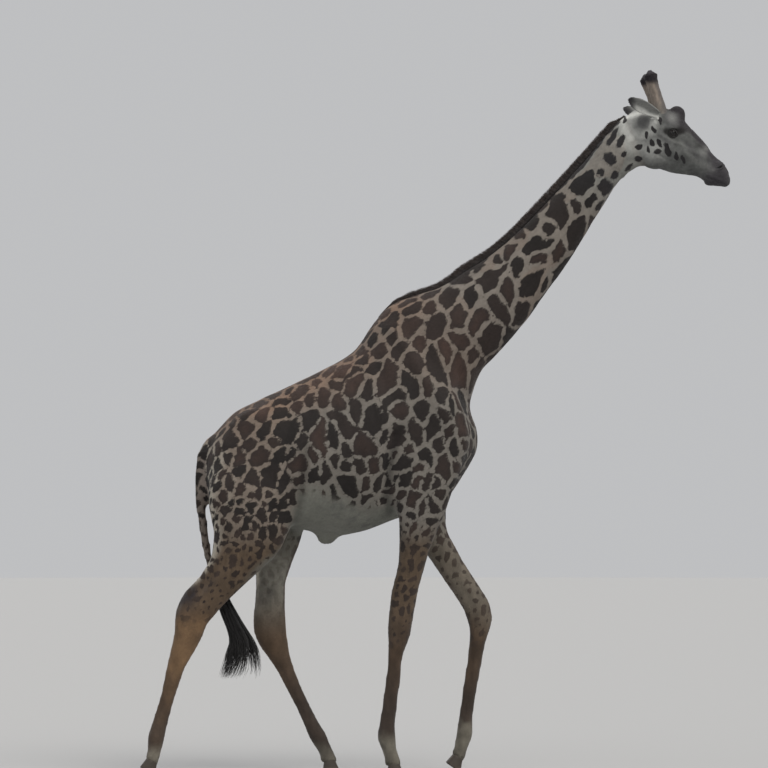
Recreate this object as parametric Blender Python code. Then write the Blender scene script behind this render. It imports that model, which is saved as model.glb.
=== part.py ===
"""A Masai giraffe bull walking, life size: +X is ahead, +Y is its left side, +Z is up."""
import math

import bmesh
import bpy
import numpy as np
from mathutils import Matrix, Vector

GAP = 0.0003            # between neighbouring pieces
CUT_REACH = 0.62        # half size of a cut that parts two lengths of the body
HEAD_SIDE = 1.6         # size of the block that clears everything ahead of the head's cut
BODY_SIDE = 4.0         # and of the one that clears everything behind it
RING_POINTS = 40        # points round each lofted length before it is fused
BODY_VOXEL = 0.014
HEAD_VOXEL = 0.0065
BODY_TRIANGLES = 3000
HEAD_TRIANGLES = 1600
BODY_EASE = 15
HEAD_EASE = 9

FOOT_SPREAD = 0.185     # from the middle plane to each foot
HOOF_HEIGHT = 0.082
TOE_GAP = 0.012
EYE_RADIUS = 0.0265
EYE_CENTRE = (1.541, 0.1245, 4.217)
EAR_THICKNESS = 0.011
EAR_LEAST_CURL = 0.0015  # smallest radius of an ear's inner wall
MANE_SINK = 0.03        # how deep the mane's blade starts under the crest
MANE_RISE = 0.055       # how high it stands over it

# Lengths bounded by an upper and a lower edge, in the side view:
# upper x, upper z, lower x, lower z, half width, height of the widest point, ridge, keel
TRUNK = [
    (-1.540, 2.080, -1.530, 1.880, 0.045, 0.0, 1.0, 1.0),
    (-1.515, 2.165, -1.500, 1.760, 0.140, 0.0, 1.0, 1.0),
    (-1.450, 2.280, -1.430, 1.690, 0.215, 0.0, 1.1, 1.0),
    (-1.350, 2.390, -1.330, 1.640, 0.265, 0.0, 1.2, 1.0),
    (-1.200, 2.465, -1.200, 1.630, 0.305, 0.0, 1.2, 1.0),
    (-1.050, 2.535, -1.060, 1.625, 0.335, -0.05, 1.2, 0.95),
    (-0.900, 2.605, -0.920, 1.605, 0.365, -0.10, 1.2, 0.9),
    (-0.720, 2.695, -0.740, 1.578, 0.388, -0.12, 1.25, 0.9),
    (-0.550, 2.805, -0.560, 1.575, 0.395, -0.14, 1.3, 0.9),
    (-0.430, 2.995, -0.400, 1.625, 0.385, -0.18, 1.5, 0.95),
    (-0.320, 3.115, -0.250, 1.680, 0.365, -0.20, 1.5, 1.0),
    (-0.180, 3.150, -0.100, 1.710, 0.335, -0.18, 1.4, 1.1),
    (-0.020, 2.950, 0.020, 1.765, 0.318, -0.12, 1.2, 1.1),
    (0.100, 2.640, 0.120, 1.885, 0.275, -0.05, 1.1, 1.1),
    (0.200, 2.400, 0.205, 2.030, 0.205, 0.0, 1.0, 1.0),
    (0.262, 2.270, 0.265, 2.130, 0.095, 0.0, 1.0, 1.0),
]
NECK = [
    (-0.420, 2.930, 0.020, 2.200, 0.255, 0.0, 1.3, 1.0),
    (-0.300, 3.110, 0.200, 2.420, 0.262, 0.0, 1.3, 1.0),
    (-0.130, 3.170, 0.280, 2.640, 0.240, 0.0, 1.3, 1.0),
    (0.020, 3.225, 0.405, 2.770, 0.210, 0.0, 1.3, 1.0),
    (0.175, 3.325, 0.545, 2.930, 0.182, 0.0, 1.3, 1.0),
    (0.385, 3.468, 0.740, 3.190, 0.150, 0.0, 1.25, 1.0),
    (0.565, 3.635, 0.893, 3.405, 0.137, 0.0, 1.2, 1.0),
    (0.725, 3.800, 1.020, 3.620, 0.128, 0.0, 1.2, 1.0),
    (0.872, 3.960, 1.125, 3.785, 0.120, 0.0, 1.15, 1.0),
    (0.995, 4.095, 1.205, 3.905, 0.114, 0.0, 1.1, 1.0),
    (1.115, 4.230, 1.285, 3.985, 0.111, 0.0, 1.1, 1.0),
    (1.205, 4.325, 1.355, 4.015, 0.113, 0.0, 1.1, 1.0),
    (1.290, 4.368, 1.425, 4.040, 0.115, 0.0, 1.0, 1.0),
]
HEAD = [
    (1.200, 4.290, 1.290, 4.060, 0.090, 0.0, 1.0, 1.0),
    (1.251, 4.350, 1.330, 4.015, 0.108, 0.0, 1.0, 1.0),
    (1.330, 4.400, 1.409, 4.006, 0.122, 0.1, 1.0, 1.0),
    (1.429, 4.412, 1.475, 3.984, 0.134, 0.2, 0.95, 1.15),
    (1.515, 4.392, 1.541, 3.964, 0.138, 0.25, 0.9, 1.25),
    (1.594, 4.345, 1.607, 3.954, 0.122, 0.2, 0.9, 1.2),
    (1.673, 4.262, 1.660, 3.948, 0.098, 0.1, 0.95, 1.1),
    (1.733, 4.200, 1.713, 3.938, 0.082, 0.05, 1.0, 1.0),
    (1.779, 4.147, 1.752, 3.915, 0.073, 0.0, 1.0, 1.0),
    (1.812, 4.094, 1.779, 3.889, 0.069, 0.0, 0.95, 0.95),
    (1.851, 4.058, 1.818, 3.879, 0.070, 0.0, 0.9, 0.9),
    (1.884, 4.032, 1.865, 3.877, 0.067, 0.0, 0.9, 0.9),
    (1.914, 3.976, 1.903, 3.870, 0.052, 0.0, 0.95, 0.95),
    (1.934, 3.922, 1.927, 3.884, 0.018, 0.0, 1.0, 1.0),
]

# Lengths carried along their middle line: x, distance from the middle plane, z, half depth, half width
FORE_RIGHT = [
    (0.060, 0.235, 2.270, 0.130, 0.075),
    (-0.010, 0.255, 2.060, 0.175, 0.090),
    (-0.080, 0.255, 1.860, 0.172, 0.095),
    (-0.125, 0.240, 1.690, 0.158, 0.095),
    (-0.150, 0.225, 1.560, 0.125, 0.090),
    (-0.165, 0.213, 1.472, 0.106, 0.084),
    (-0.191, 0.203, 1.340, 0.092, 0.077),
    (-0.228, 0.195, 1.188, 0.091, 0.072),
    (-0.244, 0.190, 1.096, 0.089, 0.071),
    (-0.254, 0.188, 1.010, 0.085, 0.073),
    (-0.264, 0.186, 0.931, 0.083, 0.069),
    (-0.274, 0.185, 0.858, 0.067, 0.056),
    (-0.287, 0.185, 0.779, 0.055, 0.047),
    (-0.297, 0.185, 0.647, 0.056, 0.045),
    (-0.314, 0.185, 0.535, 0.056, 0.045),
    (-0.327, 0.185, 0.429, 0.056, 0.046),
    (-0.340, 0.185, 0.337, 0.058, 0.051),
    (-0.345, 0.185, 0.251, 0.065, 0.060),
    (-0.322, 0.185, 0.160, 0.052, 0.053),
    (-0.290, 0.185, 0.060, 0.057, 0.058),
]
FORE_LEFT = [
    (0.050, 0.235, 2.270, 0.130, 0.075),
    (-0.020, 0.255, 2.060, 0.170, 0.090),
    (-0.070, 0.255, 1.860, 0.152, 0.095),
    (-0.070, 0.240, 1.690, 0.130, 0.095),
    (-0.040, 0.225, 1.570, 0.112, 0.090),
    (0.010, 0.213, 1.480, 0.102, 0.084),
    (0.080, 0.203, 1.365, 0.094, 0.077),
    (0.142, 0.195, 1.272, 0.092, 0.072),
    (0.208, 0.190, 1.172, 0.090, 0.071),
    (0.262, 0.188, 1.075, 0.093, 0.073),
    (0.276, 0.186, 1.000, 0.088, 0.071),
    (0.270, 0.185, 0.925, 0.068, 0.058),
    (0.257, 0.185, 0.851, 0.060, 0.050),
    (0.247, 0.185, 0.772, 0.057, 0.047),
    (0.221, 0.185, 0.627, 0.054, 0.045),
    (0.206, 0.185, 0.535, 0.053, 0.045),
    (0.190, 0.185, 0.429, 0.052, 0.045),
    (0.180, 0.185, 0.345, 0.054, 0.050),
    (0.174, 0.185, 0.260, 0.062, 0.060),
    (0.150, 0.185, 0.165, 0.049, 0.053),
    (0.118, 0.185, 0.060, 0.052, 0.058),
]
HIND_RIGHT = [
    (-1.220, 0.165, 2.120, 0.210, 0.110),
    (-1.210, 0.195, 1.950, 0.285, 0.130),
    (-1.221, 0.205, 1.802, 0.306, 0.138),
    (-1.237, 0.205, 1.670, 0.280, 0.135),
    (-1.267, 0.203, 1.538, 0.238, 0.124),
    (-1.310, 0.200, 1.452, 0.197, 0.110),
    (-1.356, 0.197, 1.373, 0.162, 0.098),
    (-1.418, 0.194, 1.287, 0.138, 0.087),
    (-1.498, 0.190, 1.195, 0.128, 0.077),
    (-1.572, 0.187, 1.115, 0.134, 0.067),
    (-1.618, 0.185, 1.036, 0.122, 0.064),
    (-1.636, 0.185, 0.944, 0.106, 0.062),
    (-1.683, 0.185, 0.812, 0.082, 0.057),
    (-1.713, 0.185, 0.739, 0.071, 0.052),
    (-1.749, 0.185, 0.614, 0.061, 0.047),
    (-1.784, 0.185, 0.482, 0.055, 0.045),
    (-1.808, 0.185, 0.402, 0.055, 0.047),
    (-1.833, 0.185, 0.320, 0.058, 0.052),
    (-1.850, 0.185, 0.248, 0.063, 0.060),
    (-1.862, 0.185, 0.165, 0.050, 0.053),
    (-1.885, 0.185, 0.060, 0.052, 0.058),
]
HIND_LEFT = [
    (-1.170, 0.165, 2.120, 0.210, 0.110),
    (-1.150, 0.195, 1.950, 0.270, 0.130),
    (-1.130, 0.205, 1.802, 0.275, 0.138),
    (-1.105, 0.205, 1.670, 0.240, 0.135),
    (-1.092, 0.203, 1.538, 0.185, 0.122),
    (-1.100, 0.197, 1.405, 0.135, 0.102),
    (-1.113, 0.192, 1.254, 0.104, 0.084),
    (-1.119, 0.188, 1.142, 0.106, 0.072),
    (-1.121, 0.186, 1.056, 0.112, 0.066),
    (-1.119, 0.185, 0.964, 0.120, 0.064),
    (-1.104, 0.185, 0.890, 0.112, 0.062),
    (-1.072, 0.185, 0.812, 0.090, 0.058),
    (-1.036, 0.185, 0.726, 0.070, 0.052),
    (-1.004, 0.185, 0.655, 0.062, 0.048),
    (-0.964, 0.185, 0.568, 0.057, 0.046),
    (-0.922, 0.185, 0.482, 0.053, 0.045),
    (-0.883, 0.185, 0.403, 0.052, 0.047),
    (-0.840, 0.185, 0.312, 0.056, 0.053),
    (-0.800, 0.185, 0.238, 0.062, 0.060),
    (-0.757, 0.185, 0.155, 0.050, 0.053),
    (-0.712, 0.185, 0.060, 0.054, 0.058),
]
SHOULDER = [
    (-0.330, 0.110, 2.960, 0.070, 0.055),
    (-0.240, 0.180, 2.780, 0.140, 0.075),
    (-0.130, 0.232, 2.560, 0.175, 0.085),
    (-0.030, 0.250, 2.350, 0.195, 0.092),
    (0.020, 0.240, 2.180, 0.190, 0.092),
    (0.010, 0.225, 2.040, 0.140, 0.080),
]
TAIL = [
    (-1.440, 0.000, 2.200, 0.070, 0.062),
    (-1.510, 0.000, 2.170, 0.062, 0.052),
    (-1.558, 0.000, 2.100, 0.045, 0.040),
    (-1.574, 0.000, 2.000, 0.038, 0.034),
    (-1.573, 0.000, 1.868, 0.036, 0.031),
    (-1.566, 0.000, 1.736, 0.034, 0.029),
    (-1.551, 0.000, 1.604, 0.031, 0.027),
    (-1.523, 0.000, 1.440, 0.026, 0.023),
    (-1.472, 0.000, 1.265, 0.022, 0.020),
    (-1.425, 0.000, 1.145, 0.020, 0.018),
]
TASSEL = [
    (-1.430, 0.000, 1.158, 0.030, 0.028),
    (-1.406, 0.000, 1.096, 0.036, 0.034),
    (-1.366, -0.005, 1.015, 0.040, 0.037),
    (-1.330, -0.010, 0.935, 0.046, 0.042),
    (-1.305, -0.012, 0.862, 0.060, 0.048),
    (-1.295, -0.014, 0.790, 0.082, 0.054),
    (-1.305, -0.014, 0.730, 0.080, 0.050),
    (-1.325, -0.014, 0.680, 0.066, 0.040),
    (-1.350, -0.014, 0.632, 0.026, 0.018),
]
# Crest of the standing mane: x, z, half width
MANE_CREST = [
    (1.205, 4.372, 0.010),
    (1.132, 4.310, 0.014),
    (1.000, 4.165, 0.016),
    (0.881, 4.033, 0.017),
    (0.736, 3.874, 0.017),
    (0.604, 3.736, 0.017),
    (0.459, 3.584, 0.017),
    (0.287, 3.439, 0.016),
    (0.168, 3.373, 0.015),
    (0.063, 3.290, 0.014),
    (-0.056, 3.216, 0.013),
    (-0.188, 3.177, 0.011),
    (-0.300, 3.142, 0.010),
    (-0.385, 3.050, 0.008),
    (-0.450, 2.955, 0.005),
]
# Outline of the mane across its blade, from the top down: share of its depth, share of its half width
MANE_OUTLINE = [(0.0, 0.35), (0.3, 0.8), (1.0, 1.0), (1.0, -1.0), (0.3, -0.8), (0.0, -0.35)]

# Rounded masses of the head and trunk: place, half sizes, and whether each side has one
HEAD_MASSES = [
    ((1.578, 0.000, 4.352), (0.060, 0.054, 0.062), False),     # boss of the forehead
    ((1.556, 0.000, 4.322), (0.080, 0.078, 0.056), False),     # swelling round the boss
    ((1.533, 0.098, 4.255), (0.068, 0.048, 0.042), True),      # brow over the eye
    ((1.560, 0.095, 4.170), (0.075, 0.034, 0.030), True),      # cheekbone under the eye
    ((1.440, 0.050, 4.110), (0.125, 0.070, 0.120), True),      # jaw muscle
    ((1.852, 0.037, 4.010), (0.042, 0.033, 0.030), True),      # nostril wing
    ((1.862, 0.000, 3.955), (0.062, 0.068, 0.060), False),     # upper lip
    ((1.800, 0.000, 3.905), (0.045, 0.046, 0.028), False),     # chin
]
BODY_MASSES = [
    ((-0.740, 0.000, 1.565), (0.085, 0.042, 0.080), False),    # sheath
    ((-1.110, 0.150, 2.300), (0.240, 0.100, 0.120), True),     # point of the hip
    ((0.150, 0.085, 2.190), (0.105, 0.110, 0.150), True),      # breast muscle
]

# Cuts that part the body: place, the direction across the cut, half size
CUTS = {
    "upper_neck": ((1.262, 0.0, 4.175), (0.93, 0.0, 0.37), 0.30),
    "middle_neck": ((0.680, 0.0, 3.480), (0.70, 0.0, 0.71), 0.40),
    "lower_neck": ((-0.040, 0.0, 2.830), (0.66, 0.0, 0.75), CUT_REACH),
}
LEG_CUTS = {
    "fore_right": [(-0.150, 1.610), (-0.270, 0.880), (-0.343, 0.310)],
    "fore_left": [(-0.050, 1.610), (0.266, 0.900), (0.178, 0.315)],
    "hind_right": [(-1.240, 1.600), (-1.672, 0.845), (-1.837, 0.305)],
    "hind_left": [(-1.100, 1.600), (-1.086, 0.845), (-0.830, 0.292)],
}
LEG_CUT_SIZES = [0.44, 0.16, 0.13]
THIGH_CUT_MIDDLE = 0.22    # from the middle plane
THIGH_CUT_WIDTH = 0.20
SHIN_CUT_WIDTH = 0.12
HOOF_CUT_REACH = 0.105
LEG_LENGTHS = ["upper", "cannon", "pastern"]

# Each foot: middle of the top of its hoof, and how far its heel is raised in degrees
FEET = {
    "fore_right": {"x": -0.296, "side": -1, "tilt": 0.0, "leg": FORE_RIGHT},
    "fore_left": {"x": 0.132, "side": 1, "tilt": 34.0, "leg": FORE_LEFT},
    "hind_right": {"x": -1.875, "side": -1, "tilt": 30.0, "leg": HIND_RIGHT},
    "hind_left": {"x": -0.722, "side": 1, "tilt": 0.0, "leg": HIND_LEFT},
}
HOOF_TOE = 0.078        # from the middle of the hoof's top to the tip of its sole
HOOF_HEEL = 0.050
HOOF_TOP_LENGTH = 0.054
HOOF_TOP_WIDTH = 0.054
HOOF_SOLE_WIDTH = 0.061
TOE_BITE = 0.006        # what the floor wears off a raised hoof's tip
CLAW_RIM = 0.002        # width left at a claw's two ends, beside the gap between the toes
CLAW_INNER_LENGTH = 0.96  # length of a claw's inner wall, of its outer
FLOOR_CUT = 0.4         # half size of the block that trims a raised hoof level with the floor

OSSICONE = [
    (1.474, 0.058, 4.320, 0.056),
    (1.458, 0.064, 4.395, 0.047),
    (1.440, 0.070, 4.455, 0.041),
    (1.422, 0.076, 4.515, 0.039),
    (1.407, 0.081, 4.563, 0.042),
    (1.399, 0.085, 4.600, 0.046),
    (1.395, 0.087, 4.625, 0.038),
    (1.394, 0.088, 4.636, 0.013),
]
OSSICONE_BASE = 4.320
OSSICONE_LENGTH = 0.318
LEFT_OSSICONE_SET_BACK = (-0.018, 0.0, -0.004)
EAR_BASE = (1.446, 0.108, 4.352)
EAR_TIP = (1.240, 0.262, 4.432)
EAR_OPENING = (0.50, 0.55, -0.67)
# Along an ear from base to tip: share of its length, half width, degrees of curl
EAR = [
    (0.00, 0.024, 230.0),
    (0.12, 0.029, 200.0),
    (0.28, 0.041, 160.0),
    (0.48, 0.051, 130.0),
    (0.68, 0.050, 105.0),
    (0.85, 0.040, 85.0),
    (0.94, 0.027, 70.0),
    (1.00, 0.010, 60.0),
]
EAR_TIP_CROWDING = 1.4  # rings stand closer together towards the rounded tip

# Places that tell the lengths of the body apart after the cuts
NODE_PLACES = {
    "neck_upper": (0.980, 0.0, 3.830),
    "neck_lower": (0.330, 0.0, 3.150),
    "trunk": (-0.640, 0.0, 2.220),
}
COLOURS = {
    "hide": ((0.36, 0.27, 0.17), 0.85),
    "hair": ((0.035, 0.025, 0.02), 0.9),
    "horn": ((0.17, 0.14, 0.11), 0.8),
    "hoof": ((0.06, 0.05, 0.045), 0.55),
    "eye": ((0.012, 0.009, 0.008), 0.08),
}


def clear_scene():
    for obj in list(bpy.data.objects):
        bpy.data.objects.remove(obj, do_unlink=True)


def material(name):
    colour, roughness = COLOURS[name]
    made = bpy.data.materials.new(name)
    made.use_nodes = True
    shader = made.node_tree.nodes["Principled BSDF"]
    shader.inputs["Base Color"].default_value = (*colour, 1.0)
    shader.inputs["Roughness"].default_value = roughness
    shader.inputs["Metallic"].default_value = 0.0
    return made


def smooth_rows(table, count):
    """Even steps along a smooth curve through a table's rows, as cubic pieces with averaged slopes."""
    rows = np.array(table, float)
    steps = np.linalg.norm(np.diff(rows[:, :3], axis=0), axis=1)
    at = np.concatenate([[0.0], np.cumsum(steps)])
    slopes = np.gradient(rows, at, axis=0)
    want = np.linspace(0.0, at[-1], count)
    i = np.clip(np.searchsorted(at, want, side="right") - 1, 0, len(rows) - 2)
    span = (at[i + 1] - at[i])[:, None]
    t = (want - at[i])[:, None] / span
    start = (2 * t**3 - 3 * t**2 + 1) * rows[i] + (t**3 - 2 * t**2 + t) * span * slopes[i]
    end = (3 * t**2 - 2 * t**3) * rows[i + 1] + (t**3 - t**2) * span * slopes[i + 1]
    return start + end


def loft(rings):
    """One closed mesh through rings of the same number of points, with flat ends."""
    mesh = bmesh.new()
    loops = [[mesh.verts.new(p) for p in ring] for ring in rings]
    size = len(loops[0])
    for a, b in zip(loops, loops[1:]):
        for k in range(size):
            n = (k + 1) % size
            mesh.faces.new((a[k], a[n], b[n], b[k]))
    mesh.faces.new(loops[0][::-1])
    mesh.faces.new(loops[-1])
    bmesh.ops.recalc_face_normals(mesh, faces=mesh.faces)
    made = bpy.data.meshes.new("loft")
    mesh.to_mesh(made)
    mesh.free()
    return made


def oval(centre, up, half_width, widest=0.0, ridge=1.0, keel=1.0, points=RING_POINTS):
    """An oval about a point: its height runs along up, its width along Y."""
    turn = np.linspace(0.0, 2.0 * math.pi, points, endpoint=False)
    high, wide = np.cos(turn), np.sin(turn)
    pinch = keel + (ridge - keel) * (1.0 + high) / 2.0
    height = high + widest * wide**2
    width = np.sign(wide) * np.abs(wide) ** pinch
    ring = centre + np.outer(height, up)
    ring[:, 1] += half_width * width
    return ring


def edged_length(table, count):
    """A length of the body between an upper and a lower edge."""
    rings = []
    for tx, tz, bx, bz, half_width, widest, ridge, keel in smooth_rows(table, count):
        top, bottom = np.array([tx, 0.0, tz]), np.array([bx, 0.0, bz])
        middle, up = (top + bottom) / 2.0, (top - bottom) / 2.0
        rings.append(oval(middle, up, half_width, widest, ridge, keel))
    return loft(rings)


def carried_length(table, count, side=1, points=RING_POINTS):
    """A limb carried along its middle line, its rings square to that line in the side view."""
    rows = smooth_rows(table, count)
    along = np.gradient(rows[:, :3], axis=0)
    rings = []
    for (x, y, z, depth, half_width), step in zip(rows, along):
        across = np.array([-step[2], 0.0, step[0]]) / math.hypot(step[0], step[2])
        rings.append(oval(np.array([x, side * y, z]), across * depth, half_width, points=points))
    return loft(rings)


def ball(place, sizes, across=24, down=14):
    mesh = bmesh.new()
    bmesh.ops.create_uvsphere(mesh, u_segments=across, v_segments=down, radius=1.0)
    bmesh.ops.scale(mesh, vec=sizes, verts=mesh.verts)
    bmesh.ops.translate(mesh, vec=place, verts=mesh.verts)
    made = bpy.data.meshes.new("ball")
    mesh.to_mesh(made)
    mesh.free()
    return made


def masses(table):
    made = []
    for (x, y, z), sizes, both in table:
        made.append(ball((x, -y, z), sizes))
        if both:
            made.append(ball((x, y, z), sizes))
    return made


def together(meshes):
    """Several meshes as the bodies of one."""
    mesh = bmesh.new()
    for each in meshes:
        mesh.from_mesh(each)
    made = bpy.data.meshes.new("together")
    mesh.to_mesh(made)
    mesh.free()
    return made


def place_object(name, mesh, finish=None):
    obj = bpy.data.objects.new(name, mesh)
    bpy.context.collection.objects.link(obj)
    if finish:
        mesh.materials.clear()
        mesh.materials.append(finish)
    return obj


def evaluated(obj):
    """The mesh as its modifiers leave it, with the object removed."""
    graph = bpy.context.evaluated_depsgraph_get()
    made = bpy.data.meshes.new_from_object(obj.evaluated_get(graph))
    bpy.data.objects.remove(obj, do_unlink=True)
    return made


def fused(meshes, voxel, ease, triangles):
    """Overlapping bodies as one smooth skin of about the asked number of triangles."""
    obj = place_object("fused", together(meshes))
    blend = obj.modifiers.new("blend", "REMESH")
    blend.mode = "VOXEL"
    blend.voxel_size = voxel
    smooth = obj.modifiers.new("smooth", "SMOOTH")
    smooth.factor = 0.5
    smooth.iterations = ease
    dense = evaluated(obj)
    obj = place_object("thinned", dense)
    thin = obj.modifiers.new("thin", "DECIMATE")
    thin.ratio = triangles / (2.0 * len(dense.polygons))
    thin.use_collapse_triangulate = True
    return evaluated(obj)


def cut(mesh, tool, operation="DIFFERENCE"):
    target = place_object("target", mesh)
    cutter = place_object("cutter", tool)
    cutter.hide_render = True
    cutter.display_type = "WIRE"
    boolean = target.modifiers.new("cut", "BOOLEAN")
    boolean.operation = operation
    boolean.solver = "EXACT"
    boolean.object = cutter
    made = evaluated(target)
    bpy.data.objects.remove(cutter, do_unlink=True)
    return made


def slab(place, across, reach, low, high, width=None):
    """A block square to a direction, from low to high along it."""
    mesh = bmesh.new()
    bmesh.ops.create_cube(mesh, size=1.0)
    sizes = (2.0 * reach, 2.0 * (width or reach), high - low)
    bmesh.ops.scale(mesh, vec=sizes, verts=mesh.verts)
    bmesh.ops.translate(mesh, vec=(0.0, 0.0, (low + high) / 2.0), verts=mesh.verts)
    turn = Vector((0.0, 0.0, 1.0)).rotation_difference(Vector(across)).to_matrix().to_4x4()
    bmesh.ops.transform(mesh, matrix=Matrix.Translation(place) @ turn, verts=mesh.verts)
    made = bpy.data.meshes.new("slab")
    mesh.to_mesh(made)
    mesh.free()
    return made


def swollen(mesh, by):
    """A copy whose surface stands out by a set distance."""
    mesh = mesh.copy()
    points = np.empty(len(mesh.vertices) * 3, np.float32)
    outward = np.empty(len(mesh.vertices) * 3, np.float32)
    mesh.vertices.foreach_get("co", points)
    mesh.vertices.foreach_get("normal", outward)
    mesh.vertices.foreach_set("co", points + by * outward)
    mesh.update()
    return mesh


def separate(mesh):
    """The bodies of a mesh, each as its own mesh, largest first."""
    whole = bmesh.new()
    whole.from_mesh(mesh)
    bmesh.ops.remove_doubles(whole, verts=whole.verts, dist=0.00002)
    bmesh.ops.triangulate(whole, faces=whole.faces)
    left, bodies = set(whole.verts), []
    while left:
        seed = left.pop()
        group, edge = {seed}, [seed]
        while edge:
            near = {e.other_vert(v) for v in edge for e in v.link_edges} - group
            group |= near
            edge = list(near)
        left -= group
        bodies.append(group)
    made = []
    for group in sorted(bodies, key=len, reverse=True):
        index = {v: i for i, v in enumerate(group)}
        faces = {f for v in group for f in v.link_faces}
        body = bpy.data.meshes.new("body")
        body.from_pydata([v.co[:] for v in group], [], [[index[v] for v in f.verts] for f in faces])
        made.append(body)
    whole.free()
    return made


def middle(mesh):
    points = np.array([v.co[:] for v in mesh.vertices])
    return (points.min(axis=0) + points.max(axis=0)) / 2.0


def foot_frame(foot):
    """Where a hoof's top lies: its place, and the directions ahead of it and up from it."""
    tilt = math.radians(foot["tilt"])
    ahead = Vector((math.cos(tilt), 0.0, -math.sin(tilt)))
    up = Vector((math.sin(tilt), 0.0, math.cos(tilt)))
    tip_drop = HOOF_TOE * math.sin(tilt) + HOOF_HEIGHT * math.cos(tilt)
    bite = TOE_BITE if tilt else 0.0
    return Vector((foot["x"], foot["side"] * FOOT_SPREAD, tip_drop - bite)), ahead, up


def claw(foot, outer, levels=3, points=9):
    """One of a hoof's two claws, from its top to its sole."""
    place, ahead, up = foot_frame(foot)
    turn = np.linspace(-math.pi / 2.0, math.pi / 2.0, points)
    rings = []
    for level in range(levels):
        t = level / (levels - 1)
        toe = HOOF_TOP_LENGTH + (HOOF_TOE - HOOF_TOP_LENGTH) * t
        heel = HOOF_TOP_LENGTH + (HOOF_HEEL - HOOF_TOP_LENGTH) * t
        width = HOOF_TOP_WIDTH + (HOOF_SOLE_WIDTH - HOOF_TOP_WIDTH) * t - TOE_GAP / 2.0
        far = np.where(turn > 0, toe, heel) * np.sin(turn)
        out = TOE_GAP / 2.0 + CLAW_RIM + (width - CLAW_RIM) * np.abs(np.cos(turn)) ** 0.75
        drop = -GAP / 2.0 - (HOOF_HEIGHT - GAP / 2.0) * t
        outline = [(f, outer * o) for f, o in zip(far, out)]
        outline += [(far[end] * CLAW_INNER_LENGTH, outer * TOE_GAP / 2.0) for end in (-1, 0)]
        rings.append([place + ahead * f + Vector((0.0, o, 0.0)) + up * drop for f, o in outline])
    mesh = loft(rings)
    if foot["tilt"]:
        mesh = cut(mesh, slab((foot["x"], place.y, 0.0), (0, 0, 1), FLOOR_CUT, -FLOOR_CUT, 0.0))
    return mesh


def leg_cutters():
    """Thin blocks that part each leg, and a thick one that takes off what the hoof replaces."""
    blocks = []
    for name, foot in FEET.items():
        rows = smooth_rows(foot["leg"], 120)
        for (x, z), reach in zip(LEG_CUTS[name], LEG_CUT_SIZES):
            i = int(np.argmin(np.abs(rows[:, 2] - z)))
            step = rows[i - 1, :3] - rows[i + 1, :3]
            upright = reach == LEG_CUT_SIZES[0]
            across = (0.0, 0.0, 1.0) if upright else (step[0], 0.0, step[2])
            y = foot["side"] * (THIGH_CUT_MIDDLE if upright else rows[i, 1])
            width = THIGH_CUT_WIDTH if upright else SHIN_CUT_WIDTH
            blocks.append(slab((x, y, z), across, reach, -GAP / 2.0, GAP / 2.0, width))
        place, _, up = foot_frame(foot)
        blocks.append(slab(place, up, HOOF_CUT_REACH, -2.0 * HOOF_HEIGHT, GAP / 2.0))
    return blocks


def body_and_head():
    """The flesh, as a coarse body and a finer head, which meet at one cut."""
    neck = edged_length(NECK, 60)
    skull = [edged_length(HEAD, 60), *masses(HEAD_MASSES)]
    limbs = [carried_length(foot["leg"], 90, foot["side"]) for foot in FEET.values()]
    shoulders = [carried_length(SHOULDER, 30, side) for side in (-1, 1)]
    trunk = [edged_length(TRUNK, 70), *masses(BODY_MASSES)]
    body = fused([neck, *skull, *limbs, *shoulders, *trunk], BODY_VOXEL, BODY_EASE, BODY_TRIANGLES)
    head = fused([neck, *skull], HEAD_VOXEL, HEAD_EASE, HEAD_TRIANGLES * 2)
    place, across, _ = CUTS["upper_neck"]
    body = cut(body, slab(place, across, HEAD_SIDE, -GAP / 2.0, HEAD_SIDE))
    head = cut(head, slab(place, across, BODY_SIDE, -BODY_SIDE, GAP / 2.0))
    return body, head


def ear(side):
    """A curled leaf with a wall of even thickness."""
    base = np.array(EAR_BASE) * (1, side, 1)
    tip = np.array(EAR_TIP) * (1, side, 1)
    along = tip - base
    axis = along / np.linalg.norm(along)
    opening = np.array(EAR_OPENING) * (1, side, 1)
    opening -= axis * np.dot(opening, axis)
    opening /= np.linalg.norm(opening)
    across = np.cross(axis, opening)
    outer, inner = [], []
    for share, half_width, curl in smooth_ear():
        angle = np.linspace(-0.5, 0.5, 8) * math.radians(curl)
        radius = half_width / math.sin(min(math.radians(curl) / 2.0, math.pi / 2.0))
        for r, into in ((radius, outer), (max(radius - EAR_THICKNESS, EAR_LEAST_CURL), inner)):
            ring = base + along * share
            ring = ring + np.outer(r * np.sin(angle), across) - np.outer(r * np.cos(angle) - radius, opening)
            into.append(ring)
    return loft([np.vstack([o, i[::-1]]) for o, i in zip(outer, inner)])


def smooth_ear():
    rows = np.array(EAR)
    want = 1.0 - (1.0 - np.linspace(0.0, 1.0, 8)) ** EAR_TIP_CROWDING
    return np.column_stack([want, *(np.interp(want, rows[:, 0], rows[:, k]) for k in (1, 2))])


def ossicone(side):
    """A short, skin-covered horn with a blunt knob."""
    rows = np.array(OSSICONE)
    rows[:, 1] *= side
    if side > 0:
        rise = np.clip((rows[:, 2:3] - OSSICONE_BASE) / OSSICONE_LENGTH, 0.0, 1.0)
        rows[:, :3] += rise * np.array(LEFT_OSSICONE_SET_BACK)
    rows = np.column_stack([rows[:, :4], rows[:, 3]])
    return carried_length(rows, 10, points=12)


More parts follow.
